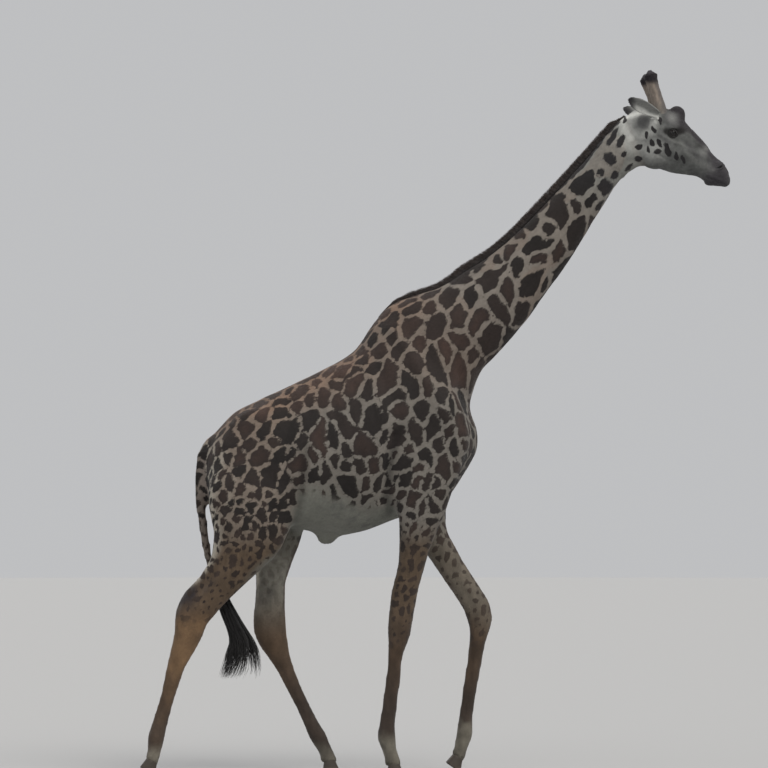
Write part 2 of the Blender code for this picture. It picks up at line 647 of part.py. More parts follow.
def mane():
    """A thin upright blade of hair along the crest of the neck."""
    rows = [(x, 0.0, z, half) for x, z, half in MANE_CREST]
    rows = smooth_rows(rows, 22)
    along = np.gradient(rows[:, :3], axis=0)
    rings = []
    for (x, y, z, half), step in zip(rows, along):
        down = np.array([step[2], 0.0, -step[0]]) / math.hypot(step[0], step[2])
        down = down if down[2] < 0 else -down
        crest = np.array([x, 0.0, z])
        depth = MANE_SINK + MANE_RISE
        rings.append([crest + down * depth * d + np.array([0.0, half * w, 0.0]) for d, w in MANE_OUTLINE])
    return loft(rings)


def length_places():
    """About where the middle of each length of the body lies, by its name."""
    places = dict(NODE_PLACES)
    for name, foot in FEET.items():
        ends = [*LEG_CUTS[name], (foot["x"], HOOF_HEIGHT)]
        for part, (ax, az), (bx, bz) in zip(LEG_LENGTHS, ends, ends[1:]):
            places[f"{name}_{part}"] = ((ax + bx) / 2.0, foot["side"] * FOOT_SPREAD, (az + bz) / 2.0)
    return places


def stand_on_floor(objects):
    """Moves every mesh so that the whole stands on the floor, centred over the origin."""
    points = np.array([v.co[:] for obj in objects for v in obj.data.vertices])
    low, high = points.min(axis=0), points.max(axis=0)
    shift = Vector((-(low[0] + high[0]) / 2.0, -(low[1] + high[1]) / 2.0, -low[2]))
    for obj in objects:
        obj.data.transform(Matrix.Translation(shift))
        obj.data.update()


def main():
    clear_scene()
    finishes = {name: material(name) for name in COLOURS}
    body, head = body_and_head()
    objects = []

    def keep(name, mesh, finish):
        objects.append(place_object(name, separate(mesh)[0], finishes[finish]))

    for side, hand in ((-1, "right"), (1, "left")):
        eye_place = (EYE_CENTRE[0], side * EYE_CENTRE[1], EYE_CENTRE[2])
        keep("eye_" + hand, ball(eye_place, (EYE_RADIUS,) * 3, 16, 8), "eye")
        socket = EYE_RADIUS + GAP
        head = cut(head, ball(eye_place, (socket,) * 3, 16, 8))
        keep("ossicone_" + hand, cut(ossicone(side), swollen(head, GAP)), "horn")
        keep("ear_" + hand, cut(ear(side), swollen(head, GAP)), "hide")
    keep("head", head, "hide")

    trims = [slab(place, across, reach, -GAP / 2.0, GAP / 2.0)
             for name, (place, across, reach) in CUTS.items() if name != "upper_neck"]
    lengths = separate(cut(body, together(trims + leg_cutters())))
    places = length_places()
    for length in lengths:
        at = middle(length)
        name = min(places, key=lambda n: np.linalg.norm(np.array(places[n]) - at))
        places.pop(name)
        objects.append(place_object(name, length, finishes["hide"]))

    keep("mane", cut(cut(mane(), swollen(body, GAP)), swollen(head, GAP)), "hair")
    tail = cut(carried_length(TAIL, 15, points=10), swollen(body, GAP))
    keep("tail", tail, "hide")
    keep("tail_tassel", cut(carried_length(TASSEL, 12, points=12), swollen(tail, GAP)), "hair")
    for name, foot in FEET.items():
        for outer, claw_name in ((1, "outer"), (-1, "inner")):
            keep(f"hoof_{name}_{claw_name}", claw(foot, outer * foot["side"]), "hoof")
    stand_on_floor(objects)
    print("triangles", sum(len(obj.data.polygons) for obj in objects))


main()
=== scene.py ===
import math
import time

import bmesh
import bpy
import numpy as np
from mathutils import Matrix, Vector


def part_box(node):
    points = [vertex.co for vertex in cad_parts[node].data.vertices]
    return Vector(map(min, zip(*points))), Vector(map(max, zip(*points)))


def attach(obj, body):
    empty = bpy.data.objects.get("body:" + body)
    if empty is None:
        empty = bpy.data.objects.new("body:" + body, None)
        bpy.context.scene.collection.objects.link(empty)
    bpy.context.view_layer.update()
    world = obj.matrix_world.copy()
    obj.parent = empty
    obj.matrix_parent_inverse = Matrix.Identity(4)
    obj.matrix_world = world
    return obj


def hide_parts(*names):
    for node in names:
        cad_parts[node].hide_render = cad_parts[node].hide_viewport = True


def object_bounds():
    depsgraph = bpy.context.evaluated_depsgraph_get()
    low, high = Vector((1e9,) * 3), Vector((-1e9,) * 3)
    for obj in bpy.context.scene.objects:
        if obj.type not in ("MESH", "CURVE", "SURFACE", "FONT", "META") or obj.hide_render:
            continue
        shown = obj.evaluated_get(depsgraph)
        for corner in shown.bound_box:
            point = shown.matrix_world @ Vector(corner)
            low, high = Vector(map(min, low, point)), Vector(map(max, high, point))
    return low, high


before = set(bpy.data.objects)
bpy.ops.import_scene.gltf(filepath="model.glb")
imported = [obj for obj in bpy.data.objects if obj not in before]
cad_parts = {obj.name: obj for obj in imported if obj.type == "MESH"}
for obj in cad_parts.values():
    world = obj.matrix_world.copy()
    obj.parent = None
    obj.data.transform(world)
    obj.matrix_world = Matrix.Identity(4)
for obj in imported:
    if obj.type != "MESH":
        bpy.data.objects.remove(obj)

# A Masai giraffe bull, walking. The frame's solids give the outline. Everything below is the finish: one skin
# with its folds and lids, the short coat in tufts over it, mane, tassel, eyes, horns and hooves.

cadLow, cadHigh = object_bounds()
scene = bpy.context.scene
started = time.time()
chance = np.random.default_rng(71)


def report(stage):
    # says which stage is done, and when
    print(f"{time.time() - started:6.1f} s  {stage}")


# Small tools.


def ramp(low, high, x):
    # smooth step: 0 below low, 1 above high, 3t^2 - 2t^3 in between
    t = np.clip((x - low) / (high - low), 0.0, 1.0)
    return t * t * (3.0 - 2.0 * t)


def bell(distance, reach):
    # 1 at distance 0, falling as exp(-(d/reach)^2)
    return np.exp(-((distance / reach) ** 2))


def unit(vectors):
    # the same directions, one long
    return vectors / np.maximum(np.linalg.norm(vectors, axis=-1, keepdims=True), 1e-9)


def latticeNoise(points, size, seed):
    # value noise: a fixed scrambled number at each lattice corner, blended by a smooth step, -1 to 1
    p = np.asarray(points) / size
    base = np.floor(p).astype(np.int64)
    t = p - base
    t = t * t * (3.0 - 2.0 * t)
    total = np.zeros(len(p))
    for corner in range(8):
        step = np.array([corner & 1, (corner >> 1) & 1, (corner >> 2) & 1])
        cell = base + step
        number = seed * 40503
        for axis, prime in enumerate((73856093, 19349663, 83492791)):
            number = number ^ (cell[:, axis] * prime)
        number = (number ^ (number >> 13)) * 1274126177
        value = ((number ^ (number >> 16)) & 0xFFFFFF) / 0x7FFFFF - 1.0
        total += value * np.where(step, t, 1.0 - t).prod(axis=1)
    return total


def readNumbers(items, field, width, kind=float):
    # one field of all of a mesh's items, a row for each item
    flat = np.empty(len(items) * width, kind)
    items.foreach_get(field, flat)
    return flat.reshape(-1, width)


def readPlaces(mesh):
    return readNumbers(mesh.vertices, "co", 3)


def readNormals(mesh):
    return readNumbers(mesh.vertex_normals, "vector", 3)


def readEdges(mesh):
    return readNumbers(mesh.edges, "vertices", 2, int)


def readCorners(mesh):
    return readNumbers(mesh.loops, "vertex_index", 1, int).ravel()


def readTriangles(mesh):
    mesh.calc_loop_triangles()
    return readNumbers(mesh.loop_triangles, "vertices", 3, int)


def writePlaces(mesh, places):
    mesh.vertices.foreach_set("co", np.asarray(places, np.float32).ravel())
    mesh.update()


def nodeShape(name):
    # a node's mesh is loose triangles: its corners are merged here, on a copy
    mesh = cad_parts[name].data
    places, where = np.unique(np.round(readPlaces(mesh), 6), axis=0, return_inverse=True)
    faces = where.ravel()[readCorners(mesh)].reshape(-1, 3)
    flat = (faces[:, 0] == faces[:, 1]) | (faces[:, 1] == faces[:, 2]) | (faces[:, 0] == faces[:, 2])
    return places, faces[~flat]


def pointsAlong(first, second, shares):
    # places on the straight lines from each first place to its second
    return np.vstack([(first + (second - first) * share).reshape(-1, 3) for share in shares])


def edgeCloud(places, faces):
    # ten places on every edge of every face
    return pointsAlong(places[faces], np.roll(places[faces], 1, axis=1), np.linspace(0, 0.9, 10))


def nearestOf(places, centres):
    # distance to the nearest of some centres
    return np.minimum.reduce([np.linalg.norm(places - centre, axis=1) for centre in centres])


def cornerNormals(places, faces):
    # area-weighted mean of the faces round each corner
    first, second, third = (places[faces[:, corner]] for corner in range(3))
    normal = np.cross(second - first, third - first)
    total = np.zeros_like(places)
    for corner in range(3):
        for axis in range(3):
            total[:, axis] += np.bincount(faces[:, corner], normal[:, axis], len(places))
    return unit(total)


def standing(name, data):
    # an object made of a mesh, a lamp or a camera, put into the scene
    made = bpy.data.objects.new(name, data)
    scene.collection.objects.link(made)
    return made


def smoothed(mesh):
    # all faces shaded as one rounded surface
    mesh.polygons.foreach_set("use_smooth", np.ones(len(mesh.polygons), bool))


def pieceFrom(name, places, faces):
    # faces is one array of equal faces, or a list of such arrays
    groups = faces if isinstance(faces, list) else [faces]
    mesh = bpy.data.meshes.new(name)
    mesh.vertices.add(len(places))
    mesh.vertices.foreach_set("co", np.asarray(places, np.float32).ravel())
    corners = np.concatenate([group.ravel() for group in groups]).astype(np.int32)
    sizes = np.concatenate([np.full(len(group), group.shape[1]) for group in groups])
    mesh.loops.add(len(corners))
    mesh.loops.foreach_set("vertex_index", corners)
    mesh.polygons.add(len(sizes))
    starts = np.concatenate([[0], np.cumsum(sizes)[:-1]])
    mesh.polygons.foreach_set("loop_start", starts.astype(np.int32))
    smoothed(mesh)
    mesh.update(calc_edges=True)
    mesh.validate()
    return standing(name, mesh)


def setNumbers(mesh, name, kind, values):
    # one value for each vertex, kept on the mesh under a name that the materials read
    field = {"FLOAT": "value", "FLOAT_VECTOR": "vector", "FLOAT_COLOR": "color"}[kind]
    attribute = mesh.attributes.new(name, kind, "POINT")
    attribute.data.foreach_set(field, np.asarray(values, np.float32).ravel())


def eased(places, edges, strength, rounds):
    # each place moves towards the mean of its neighbours, by its own strength, over and over
    count = np.bincount(edges.ravel(), minlength=len(places)).astype(float)
    first, second = edges[:, 0], edges[:, 1]
    for _ in range(rounds):
        mean = np.empty_like(places)
        for axis in range(3):
            mean[:, axis] = (np.bincount(first, places[second, axis], len(places))
                             + np.bincount(second, places[first, axis], len(places))) / count
        places = places + (mean - places) * strength[:, None]
    return places


def ownBy(piece, slot, *nodes):
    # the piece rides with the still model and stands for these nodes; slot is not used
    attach(piece, "root")
    if nodes:
        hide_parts(*nodes)


# Landmarks, in the frame's metres, seen from the side; the two sides mirror in Y.

headAxis = np.array([0.86, 0.0, -0.51])  # from the poll to the muzzle
headUp = np.array([0.51, 0.0, 0.86])
poll = np.array([1.30, 0.0, 4.25])
neckFoot = np.array([0.15, 0.0, 2.75])
neckAxis = np.array([0.604, 0.0, 0.797])
neckUp = np.array([-0.797, 0.0, 0.604])
neckLength = 1.82
headEdge, headEdgeLean = (1.274, 4.175), (0.93, 0.37)  # x and z of the line where the head's coat begins
tailStart = -1.395  # the x behind which the tail has its own coat
legNames = ("fore_right", "fore_left", "hind_right", "hind_left")


def alongNeck(places):
    # metres up the neck from its foot
    return (places - neckFoot) @ neckAxis


def overNeck(places):
    # metres towards the neck's upper edge from its middle line
    return (places - neckFoot) @ neckUp


def neckShare(places):
    # 0 at the neck's foot, 1 near the poll
    return alongNeck(places) / neckLength


def pastHeadEdge(places):
    # metres past the slanting line where the head's coat begins
    return (places[:, 0] - headEdge[0]) * headEdgeLean[0] + (places[:, 2] - headEdge[1]) * headEdgeLean[1]


def centreOf(name):
    # the middle of a node's box
    low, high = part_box(name)
    return (np.array(low) + np.array(high)) / 2


eyeCentres = {side: centreOf("eye_" + side) for side in ("left", "right")}
eyeRadius = (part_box("eye_left")[1][2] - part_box("eye_left")[0][2]) / 2
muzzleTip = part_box("head")[1][0]
nostrils = [np.array([muzzleTip - 0.070, side * 0.047, 4.002]) for side in (1, -1)]


def legLines():
    # for each leg, its middle in X and Y and its half depth, height by height
    lines = {}
    step = 0.05
    for leg in legNames:
        parts = [nodeShape(f"{leg}_{part}") for part in ("upper", "cannon", "pastern")]
        cloud = np.vstack([pointsAlong(places[faces[:, 0]], places[faces[:, 1]], (0.0, 0.25, 0.5, 0.75))
                           for places, faces in parts])
        rows = []
        for height in np.arange(step, 1.66, step):
            band = cloud[np.abs(cloud[:, 2] - height) < step]
            if len(band) < 3:
                continue
            low, high = band.min(axis=0), band.max(axis=0)
            rows.append([height, (low[0] + high[0]) / 2, (low[1] + high[1]) / 2, (high[0] - low[0]) / 2])
        lines[leg] = np.array(rows)
    return lines


legLine = legLines()


def legAt(leg, heights):
    # a leg's middle in X and Y and its half depth at some heights
    line = legLine[leg]
    return [np.interp(heights, line[:, 0], line[:, column]) for column in (1, 2, 3)]


def nearestLeg(places):
    # the number of the leg whose middle line runs nearest
    x, y, z = places.T
    away = []
    for leg in legNames:
        middleX, middleY, _ = legAt(leg, z)
        away.append(np.hypot(x - middleX, y - middleY))
    return np.array(away).argmin(axis=0)


def outwardOf(places):
    # +1 where the animal's left is outwards, -1 where its right is: by the body's side, low down by the leg
    legs = np.array([1.0 if leg.endswith("left") else -1.0 for leg in legNames])
    return np.where(places[:, 2] < 1.55, legs[nearestLeg(places)], np.sign(places[:, 1]))


footTilt = {"fore_right": 0, "fore_left": 34, "hind_right": 30, "hind_left": 0}  # degrees the heel is raised


def footTops():
    # for each leg, the middle of its hoof's top and the way up from it
    tops = {}
    for leg in legNames:
        claws = [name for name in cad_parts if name.startswith("hoof_" + leg)]
        places = np.vstack([nodeShape(claw)[0] for claw in claws])
        tilt = math.radians(footTilt[leg])
        up = np.array([math.sin(tilt), 0.0, math.cos(tilt)])
        height = places @ up
        tops[leg] = (places[height > height.max() - 0.003].mean(axis=0), up)
    return tops


footTop = footTops()


def overHoof(places):
    # metres over the top of the nearest hoof, 9 where none is near; the way outwards from its middle, and up
    rise = np.full(len(places), 9.0)
    outward, upward = np.zeros((len(places), 3)), np.zeros((len(places), 3))
    for top, up in footTop.values():
        away = places - top
        height = away @ up
        across = away - height[:, None] * up
        near = (np.abs(height) < 0.09) & (np.linalg.norm(across, axis=1) < 0.11)
        rise = np.where(near, height, rise)
        outward = np.where(near[:, None], across, outward)
        upward = np.where(near[:, None], up, upward)
    return rise, outward, upward


# Skin: an even net over the joined solids, finer on the head, eased, then sculpted.

skinLook = {
    "bodyGrain": 0.0176,  # spacing of the body's net
    "headGrain": 0.0062,  # spacing of the head's net
    "weld": 0.0004,  # how far each solid swells to close the gaps between them
    "joinPoint": (1.15, 0.0, 4.05),  # where the head's fine net meets the body's
    "joinLean": (0.75, 0.0, 0.66),
    "bodyEasing": 26,
    "headEasing": 5,
    "coatDepth": 0.0035,  # how deep the skin lies under the coat's tips
    "collarDrop": 0.015,  # how far the coronet comes down over the hoof
    "collarFlare": 0.12,  # how much wider than the hoof it stands
}
apart = ("eye", "hoof", "ossicone", "mane", "tail_tassel")
fleshNodes = [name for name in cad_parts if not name.startswith(apart)]
joinPoint = np.array(skinLook["joinPoint"])
joinLean = np.array(skinLook["joinLean"])


def swollenFlesh():
    # the flesh and the eyes in one heap, each solid grown a little along its normals
    shapes, faces, count = [], [], 0
    for name in fleshNodes + ["eye_left", "eye_right"]:
        places, triangles = nodeShape(name)
        shapes.append(places + cornerNormals(places, triangles) * skinLook["weld"])
        faces.append(triangles + count)
        count += len(places)
    return np.vstack(shapes), np.vstack(faces)


def netOf(places, faces, grain):
    # even net of squares over the joined solids, inner walls gone
    lump = pieceFrom("lump", places, faces)
    remesh = lump.modifiers.new("net", "REMESH")
    remesh.mode = "VOXEL"
    remesh.voxel_size = grain
    net = bmesh.new()
    net.from_object(lump, bpy.context.evaluated_depsgraph_get())
    bpy.data.objects.remove(lump)
    return net


def clipped(net, point, clearOuter):
    # cuts the net along the join, and keeps the one side
    parts = list(net.verts) + list(net.edges) + list(net.faces)
    bmesh.ops.bisect_plane(net, geom=parts, plane_co=tuple(point), plane_no=tuple(joinLean),
                           clear_outer=clearOuter, clear_inner=not clearOuter)


def finer(net, centres, reach, rounds):
    # halves the squares near the given places, as often as asked
    centres = [Vector(centre) for centre in centres]
    for _ in range(rounds):
        close = [edge for edge in net.edges
                 if any((edge.verts[0].co - centre).length < reach for centre in centres)]
        bmesh.ops.subdivide_edges(net, edges=close, cuts=1, use_grid_fill=True)
        reach *= 0.86


def skinNet():
    # a coarse net for the body and a fine one for the head, bridged where they meet
    places, faces = swollenFlesh()
    body = netOf(places, faces, skinLook["bodyGrain"])
    clipped(body, joinPoint - joinLean * skinLook["bodyGrain"] * 0.8, True)
    whole = bpy.data.meshes.new("skin")
    body.to_mesh(whole)
    body.free()
    head = netOf(places, faces, skinLook["headGrain"])
    clipped(head, joinPoint, False)
    head.from_mesh(whole)
    bmesh.ops.bridge_loops(head, edges=[edge for edge in head.edges if len(edge.link_faces) == 1])
    finer(head, eyeCentres.values(), 0.052, 2)
    finer(head, nostrils, 0.036, 2)
    bmesh.ops.triangulate(head, faces=[face for face in head.faces if len(face.verts) > 4])
    bmesh.ops.recalc_face_normals(head, faces=head.faces)
    head.to_mesh(whole)
    head.free()
    smoothed(whole)
    return whole


def isTail(places):
    # the hanging tail, from just under its root
    return (places[:, 0] < -1.36) & (np.abs(places[:, 1]) < 0.062) & (places[:, 2] < 2.12)


def isEar(places):
    # the two ears, clear of the skull; the sides mirror, so the left one's box serves both
    low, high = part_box("ear_left")
    x, y, z = places.T
    return (x > 1.1) & (x < high[0] - 0.02) & (np.abs(y) > low[1] + 0.006) & (z > low[2] - 0.004)


def easeSkin(mesh):
    # the body is eased first, its legs and the thin tail much less; then all, lightly round the eyes
    places = readPlaces(mesh)
    edges = readEdges(mesh)
    onHead = (places - joinPoint) @ joinLean > 0
    leg = ramp(1.8, 1.35, places[:, 2])
    tail = np.where(isTail(places), 0.12 + 0.65 * ramp(1.95, 2.08, places[:, 2]), 1.0)
    strength = np.where(onHead, 0.0, 0.5 * (1 - 0.86 * leg) * tail)
    places = eased(places, edges, strength, skinLook["bodyEasing"])
    near = nearestOf(places, eyeCentres.values())
    strength = np.where(onHead, 0.5, 0.1) * np.where(near < 0.03, 0.3, 1.0)
    places = eased(places, edges, strength, skinLook["headEasing"])
    writePlaces(mesh, places)


lids = {
    "openWide": 0.98,  # half width of the opening, as a share of the eye's radius
    "openHigh": 0.56,
    "tilt": -0.22,  # front corner lower than the back one
    "edge": 1.085,  # how far out the lids' edge stands, in eye radii
    "tuck": 0.90,  # where the skin hides behind the eyeball
}


def lookOf(side):
    # the way an eye faces: out to its side, a little forward and down
    turn = 1 if side == "left" else -1
    out = unit(np.array([0.20, turn * 0.97, -0.08]))
    along = unit(headAxis * math.cos(lids["tilt"]) + headUp * math.sin(lids["tilt"]))
    along = unit(along - out * (along @ out))
    up = np.cross(along, out)
    return out, along, up if up[2] > 0 else -up


def sculptEye(places, side):
    # along rays from the eye's centre: inside an almond outline the skin tucks behind the ball,
    # outside it swells into two lids that lie on the ball
    centre = eyeCentres[side]
    out, along, up = lookOf(side)
    rays = places - centre
    far = np.linalg.norm(rays, axis=1)
    near = (far < eyeRadius * 2.4) & (rays @ out > -0.004)
    ray = unit(rays[near])
    a, b, c = ray @ along, ray @ up, ray @ out
    wide = np.clip(np.abs(a) / lids["openWide"], 0, 1)
    high = np.where(b > 0, 1.0, 0.72) * lids["openHigh"] * (1 - wide ** 2.2)
    outside = np.where((c < 0) | (np.abs(a) > lids["openWide"]), 1.0, np.abs(b) - high)
    lid = ramp(-0.06, 0.05, outside)
    crease = bell(outside - 0.42, 0.10) * np.where(b > 0, 0.07, 0.045)  # the folds over and under the lids
    ball = eyeRadius * (lids["tuck"] + (lids["edge"] - lids["tuck"] + 0.03 * bell(outside, 0.16)) * lid)
    was = far[near]
    reach = np.maximum(was, ball) * lid + ball * (1 - lid)
    reach -= crease * eyeRadius * ramp(2.2, 1.4, was / eyeRadius)
    places[near] = centre + ray * reach[:, None]
    return places


def onSide(places, points, reach):
    # nearness to a line of points (x, z), or to a single one, whatever the Y: a bell across it
    line = np.array(points)
    flat = places[:, [0, 2]]
    if len(line) == 1:
        return bell(np.hypot(*(flat - line[0]).T), reach)
    nearest = np.full(len(places), 9.0)
    for start, end in zip(line[:-1], line[1:]):
        run = end - start
        share = np.clip(((flat - start) @ run) / (run @ run), 0, 1)
        nearest = np.minimum(nearest, np.linalg.norm(flat - start - share[:, None] * run, axis=1))
    return bell(nearest, reach)


faceForms = (
    # height (+) or depth (-), reach, and the line's points, ahead of the eye and over it, in metres
    (0.0045, 0.013, ((-0.085, -0.010), (-0.02, -0.052), (0.06, -0.078), (0.16, -0.135))),  # cheek bone
    (0.0035, 0.012, ((0.10, -0.005), (0.30, -0.160))),  # edge of the nose bone
)
faceHollows = (
    # depth, ahead of the eye, over it, squash upwards, reach, along the head's own axes
    (0.0070, -0.080, 0.022, 1.0, 0.036),  # temple
    (0.0060, 0.105, -0.030, 1.6, 0.060),  # cheek before the eye
    (0.0050, 0.190, 0.004, 1.8, 0.060),  # side of the nose
)
mouthLine = ((-0.034, 3.874), (-0.085, 3.898), (-0.160, 3.928), (-0.235, 3.970))  # x from the muzzle's tip, z
jawLine = ((-0.10, 4.075), (-0.005, 4.025), (0.12, 3.995))  # x from the eye, z
nostrilSlit = np.array([0.80, 0.0, 0.60])
nostrilAcross = np.array([-0.60, 0.0, 0.80])


def sculptHead(places, normals):
    # folds and bones of the head, each a soft ridge (+) or hollow (-) along the surface's own normal
    sideways = ramp(0.25, 0.7, np.abs(normals[:, 1]))
    eyeX, eyeZ = eyeCentres["left"][[0, 2]]
    away = places - np.array([eyeX, 0, eyeZ])
    u, v = away @ headAxis, away @ headUp
    browSide = ramp(0.06, 0.09, np.abs(places[:, 1]))
    offset = 0.0075 * bell(np.hypot(u + 0.002, (v - 0.047) * 1.5), 0.042) * browSide
    for height, reach, points in faceForms:
        offset += height * onSide(places, [(eyeX + x, eyeZ + z) for x, z in points], reach) * sideways
    for depth, ahead, over, squash, reach in faceHollows:
        offset -= depth * bell(np.hypot(u - ahead, (v - over) * squash), reach) * sideways
    mouth = [(muzzleTip + x, z) for x, z in mouthLine]
    offset -= 0.0060 * onSide(places, mouth, 0.0050) * ramp(-0.65, -0.2, -np.abs(normals[:, 2]))
    for height, rise, reach in ((0.0040, 0.017, 0.012), (0.0030, -0.015, 0.010)):  # the lips
        offset += height * onSide(places, [(x, z + rise) for x, z in mouth[:3]], reach)
    offset -= 0.0040 * onSide(places, [(eyeX + x, z) for x, z in jawLine], 0.012) * sideways
    for turn, nostril in zip((1, -1), nostrils):
        rise = places - nostril
        s, t = rise @ nostrilSlit, rise @ nostrilAcross
        bend = t - 9.0 * s * s + 0.004
        mine = places[:, 1] * turn > 0.012
        offset -= 0.016 * bell(s, 0.0165) * bell(bend, 0.0052) * mine
        offset += 0.0052 * bell(s, 0.024) * bell(np.abs(bend) - 0.0105, 0.0052) * mine
    folds = latticeNoise(places * np.array([1.0, 0.5, 2.2]), 0.022, 5) * 0.0011
    return offset + folds * (0.35 + 0.65 * ramp(0.20, 0.34, u))


def neckLine(over):
    # a line (x, z) up the neck, some metres over its middle
    places = [neckFoot + neckAxis * along + neckUp * over for along in (-0.1, 0.5, 1.1, 1.75)]
    return [(place[0], place[2]) for place in places]


bodyForms = (
    # height (+) or depth (-), reach, and the line's points (x, z), in metres
    (0.012, 0.045, ((-0.30, 2.93), (-0.10, 2.62), (0.10, 2.28))),  # shoulder blade
    (-0.010, 0.050, ((-0.44, 2.80), (-0.30, 2.45), (-0.24, 2.15), (-0.31, 1.90))),  # hollow behind it
    (0.010, 0.050, ((-0.16, 2.10), (-0.22, 1.88), (-0.27, 1.72))),  # back of the upper arm
    (-0.020, 0.030, ((-0.29, 2.22), (-0.33, 2.00), (-0.36, 1.80))),  # fold at the elbow
    (-0.008, 0.030, ((0.06, 2.10), (-0.04, 1.90), (-0.08, 1.72))),  # groove down the upper arm
    (-0.010, 0.040, ((0.13, 2.72), (0.17, 2.50), (0.15, 2.30))),  # between neck and shoulder
    (-0.006, 0.026, neckLine(-0.085)),  # throat's groove
    (0.005, 0.040, neckLine(0.06)),  # cord of the neck
    (0.016, 0.060, ((-1.08, 2.50),)),  # hip point
    (0.010, 0.060, ((-1.40, 2.18),)),  # seat bone
    (-0.012, 0.045, ((-0.97, 2.42), (-0.99, 2.15), (-1.00, 1.92))),  # flank
    (-0.009, 0.032, ((-1.20, 2.40), (-1.32, 2.05), (-1.40, 1.75))),  # groove down the thigh
    (0.012, 0.050, ((-1.02, 1.98), (-1.04, 1.80))),  # stifle
)


def sculptBody(places, normals):
    # the big muscles, bones and folds under the coat: ribs and the neck's creases are sines along the body
    x, z = places[:, 0], places[:, 2]
    side = ramp(0.25, 0.75, np.abs(normals[:, 1]))
    offset = np.zeros(len(places))
    for height, reach, points in bodyForms:
        offset += height * onSide(places, points, reach) * side
    ribs = np.sin((x + 0.30 * (z - 2.2)) * (2 * math.pi / 0.085)) * side
    ribCage = ramp(-1.0, -0.85, x) * ramp(-0.32, -0.45, x) * ramp(1.98, 2.12, z) * ramp(2.72, 2.55, z)
    offset += 0.0013 * ribs * ribCage
    creases = np.sin(alongNeck(places) * 2 * math.pi / 0.055 + 2.5 * latticeNoise(places, 0.12, 8))
    offset += 0.0012 * creases * ramp(0.75, 0.95, neckShare(places)) * ramp(1.08, 1.0, neckShare(places))
    swells = latticeNoise(places * np.array([1.0, 1.0, 0.5]), 0.075, 21)
    return offset + 0.0030 * swells * ramp(1.0, 1.6, z)


def sculptLegs(places, normals):
    # tendons stand behind the cannon bones with a groove before them; knees, hocks and fetlocks are knobbed
    offset = np.zeros(len(places))
    x, y, z = places.T
    flank = ramp(0.3, 0.8, np.abs(normals[:, 1]))
    cannon = ramp(0.30, 0.40, z) * ramp(0.80, 0.70, z)
    for leg in legNames:
        middleX, middleY, depth = legAt(leg, z)
        mine = (np.abs(x - middleX) < depth + 0.05) & (np.abs(y - middleY) < 0.10)
        mine &= (z < 1.5) & ~isTail(places)
        back = (x - middleX) / depth
        groove = -0.0055 * bell(back + 0.30, 0.20) * cannon + 0.0020 * bell(back - 0.35, 0.4) * cannon
        if leg.startswith("hind"):
            high = ramp(1.02, 1.14, z) * ramp(1.48, 1.30, z)
            groove += -0.012 * bell(back + 0.45, 0.24) * high
            groove += 0.004 * bell(z - 0.93, 0.05) * bell(back - 0.1, 0.6)
        else:
            groove += 0.005 * bell(z - 0.84, 0.045) * bell(np.abs(back - 0.1) - 0.35, 0.4)
            high = ramp(1.0, 1.1, z) * ramp(1.5, 1.35, z)
            groove += -0.005 * bell(back + 0.15, 0.18) * high
        groove += 0.0035 * bell(z - 0.265, 0.030) * bell(back + 0.5, 0.5)
        offset += np.where(mine, groove * flank, 0.0)
    return offset


def sculptSkin(mesh):
    # sinks the skin by the coat's depth, raises its forms, shapes the lids and draws the coronets down
    places = readPlaces(mesh)
    normals = readNormals(mesh)
    low = np.clip(places[:, 2] / 0.30, 0.25, 1.0)
    face = (places - eyeCentres["left"]) @ headAxis
    depth = skinLook["coatDepth"] * low * np.where(face > 0.1, 0.55, 1.0)
    near = nearestOf(places, eyeCentres.values())
    depth = depth * ramp(0.03, 0.06, near) * np.where(isEar(places), 0.15, 1.0)
    depth = np.where(isTail(places), 0.001, depth)
    onHead = ramp(-0.05, 0.05, (places - joinPoint) @ joinLean)
    offset = sculptHead(places, normals) * onHead * ramp(0.026, 0.040, near)
    offset += sculptBody(places, normals) * (1 - onHead) + sculptLegs(places, normals) - depth
    places = places + normals * offset[:, None]
    for side in ("left", "right"):
        places = sculptEye(places, side)
    rise, outward, upward = overHoof(places)
    collar = ramp(0.040, 0.0, rise)[:, None]
    places = places + (outward * skinLook["collarFlare"] - upward * skinLook["collarDrop"]) * collar
    writePlaces(mesh, places)


skinMesh = skinNet()
report("skin's net")
easeSkin(skinMesh)
sculptSkin(skinMesh)
skin = standing("skin", skinMesh)
ownBy(skin, "hide", *fleshNodes)
report(f"skin sculpted: {len(readTriangles(skinMesh))} triangles")


# Markings. Everything about the coat's colours is a formula of the place on the body, so that the skin and
# every tuft standing on it agree.

coatColours = {  # red, green, blue as seen, 0 to 255
    "neckGround": (124, 117, 109),
    "highNeck": (126, 126, 121),
    "sideGround": (115, 110, 103),
    # warmer ground of the back, also laid on upward-facing coat as painted sunlight
    "backGroundAndSunlight": (124, 103, 88),
    "rumpGround": (122, 110, 99),
    # pale rear of the hind thighs: partly the coat's paler hair, partly painted rim light
    "paleEdgeAndRimLight": (172, 165, 152),
    "belly": (116, 116, 108),
    "upperLeg": (88, 73, 58),
    "innerLeg": (120, 117, 108),
    "lowerLeg": (77, 61, 47),
    "hindCannon": (116, 91, 65),
    "fetlock": (60, 51, 45),
    "pastern": (124, 119, 107),
    "cheek": (88, 89, 87),
    "pale": (205, 205, 200),
    "temple": (76, 75, 76),
    "bridge": (42, 38, 42),
    "muzzle": (53, 50, 54),
    "socket": (30, 28, 27),
    "tail": (124, 114, 106),
    "patch": (38, 33, 31),
    # browner patches of the back, also laid on upward-facing coat as painted sunlight
    "backPatchAndSunlight": (60, 45, 39),
    "legSpot": (52, 42, 36),
    "headSpot": (36, 34, 35),
}


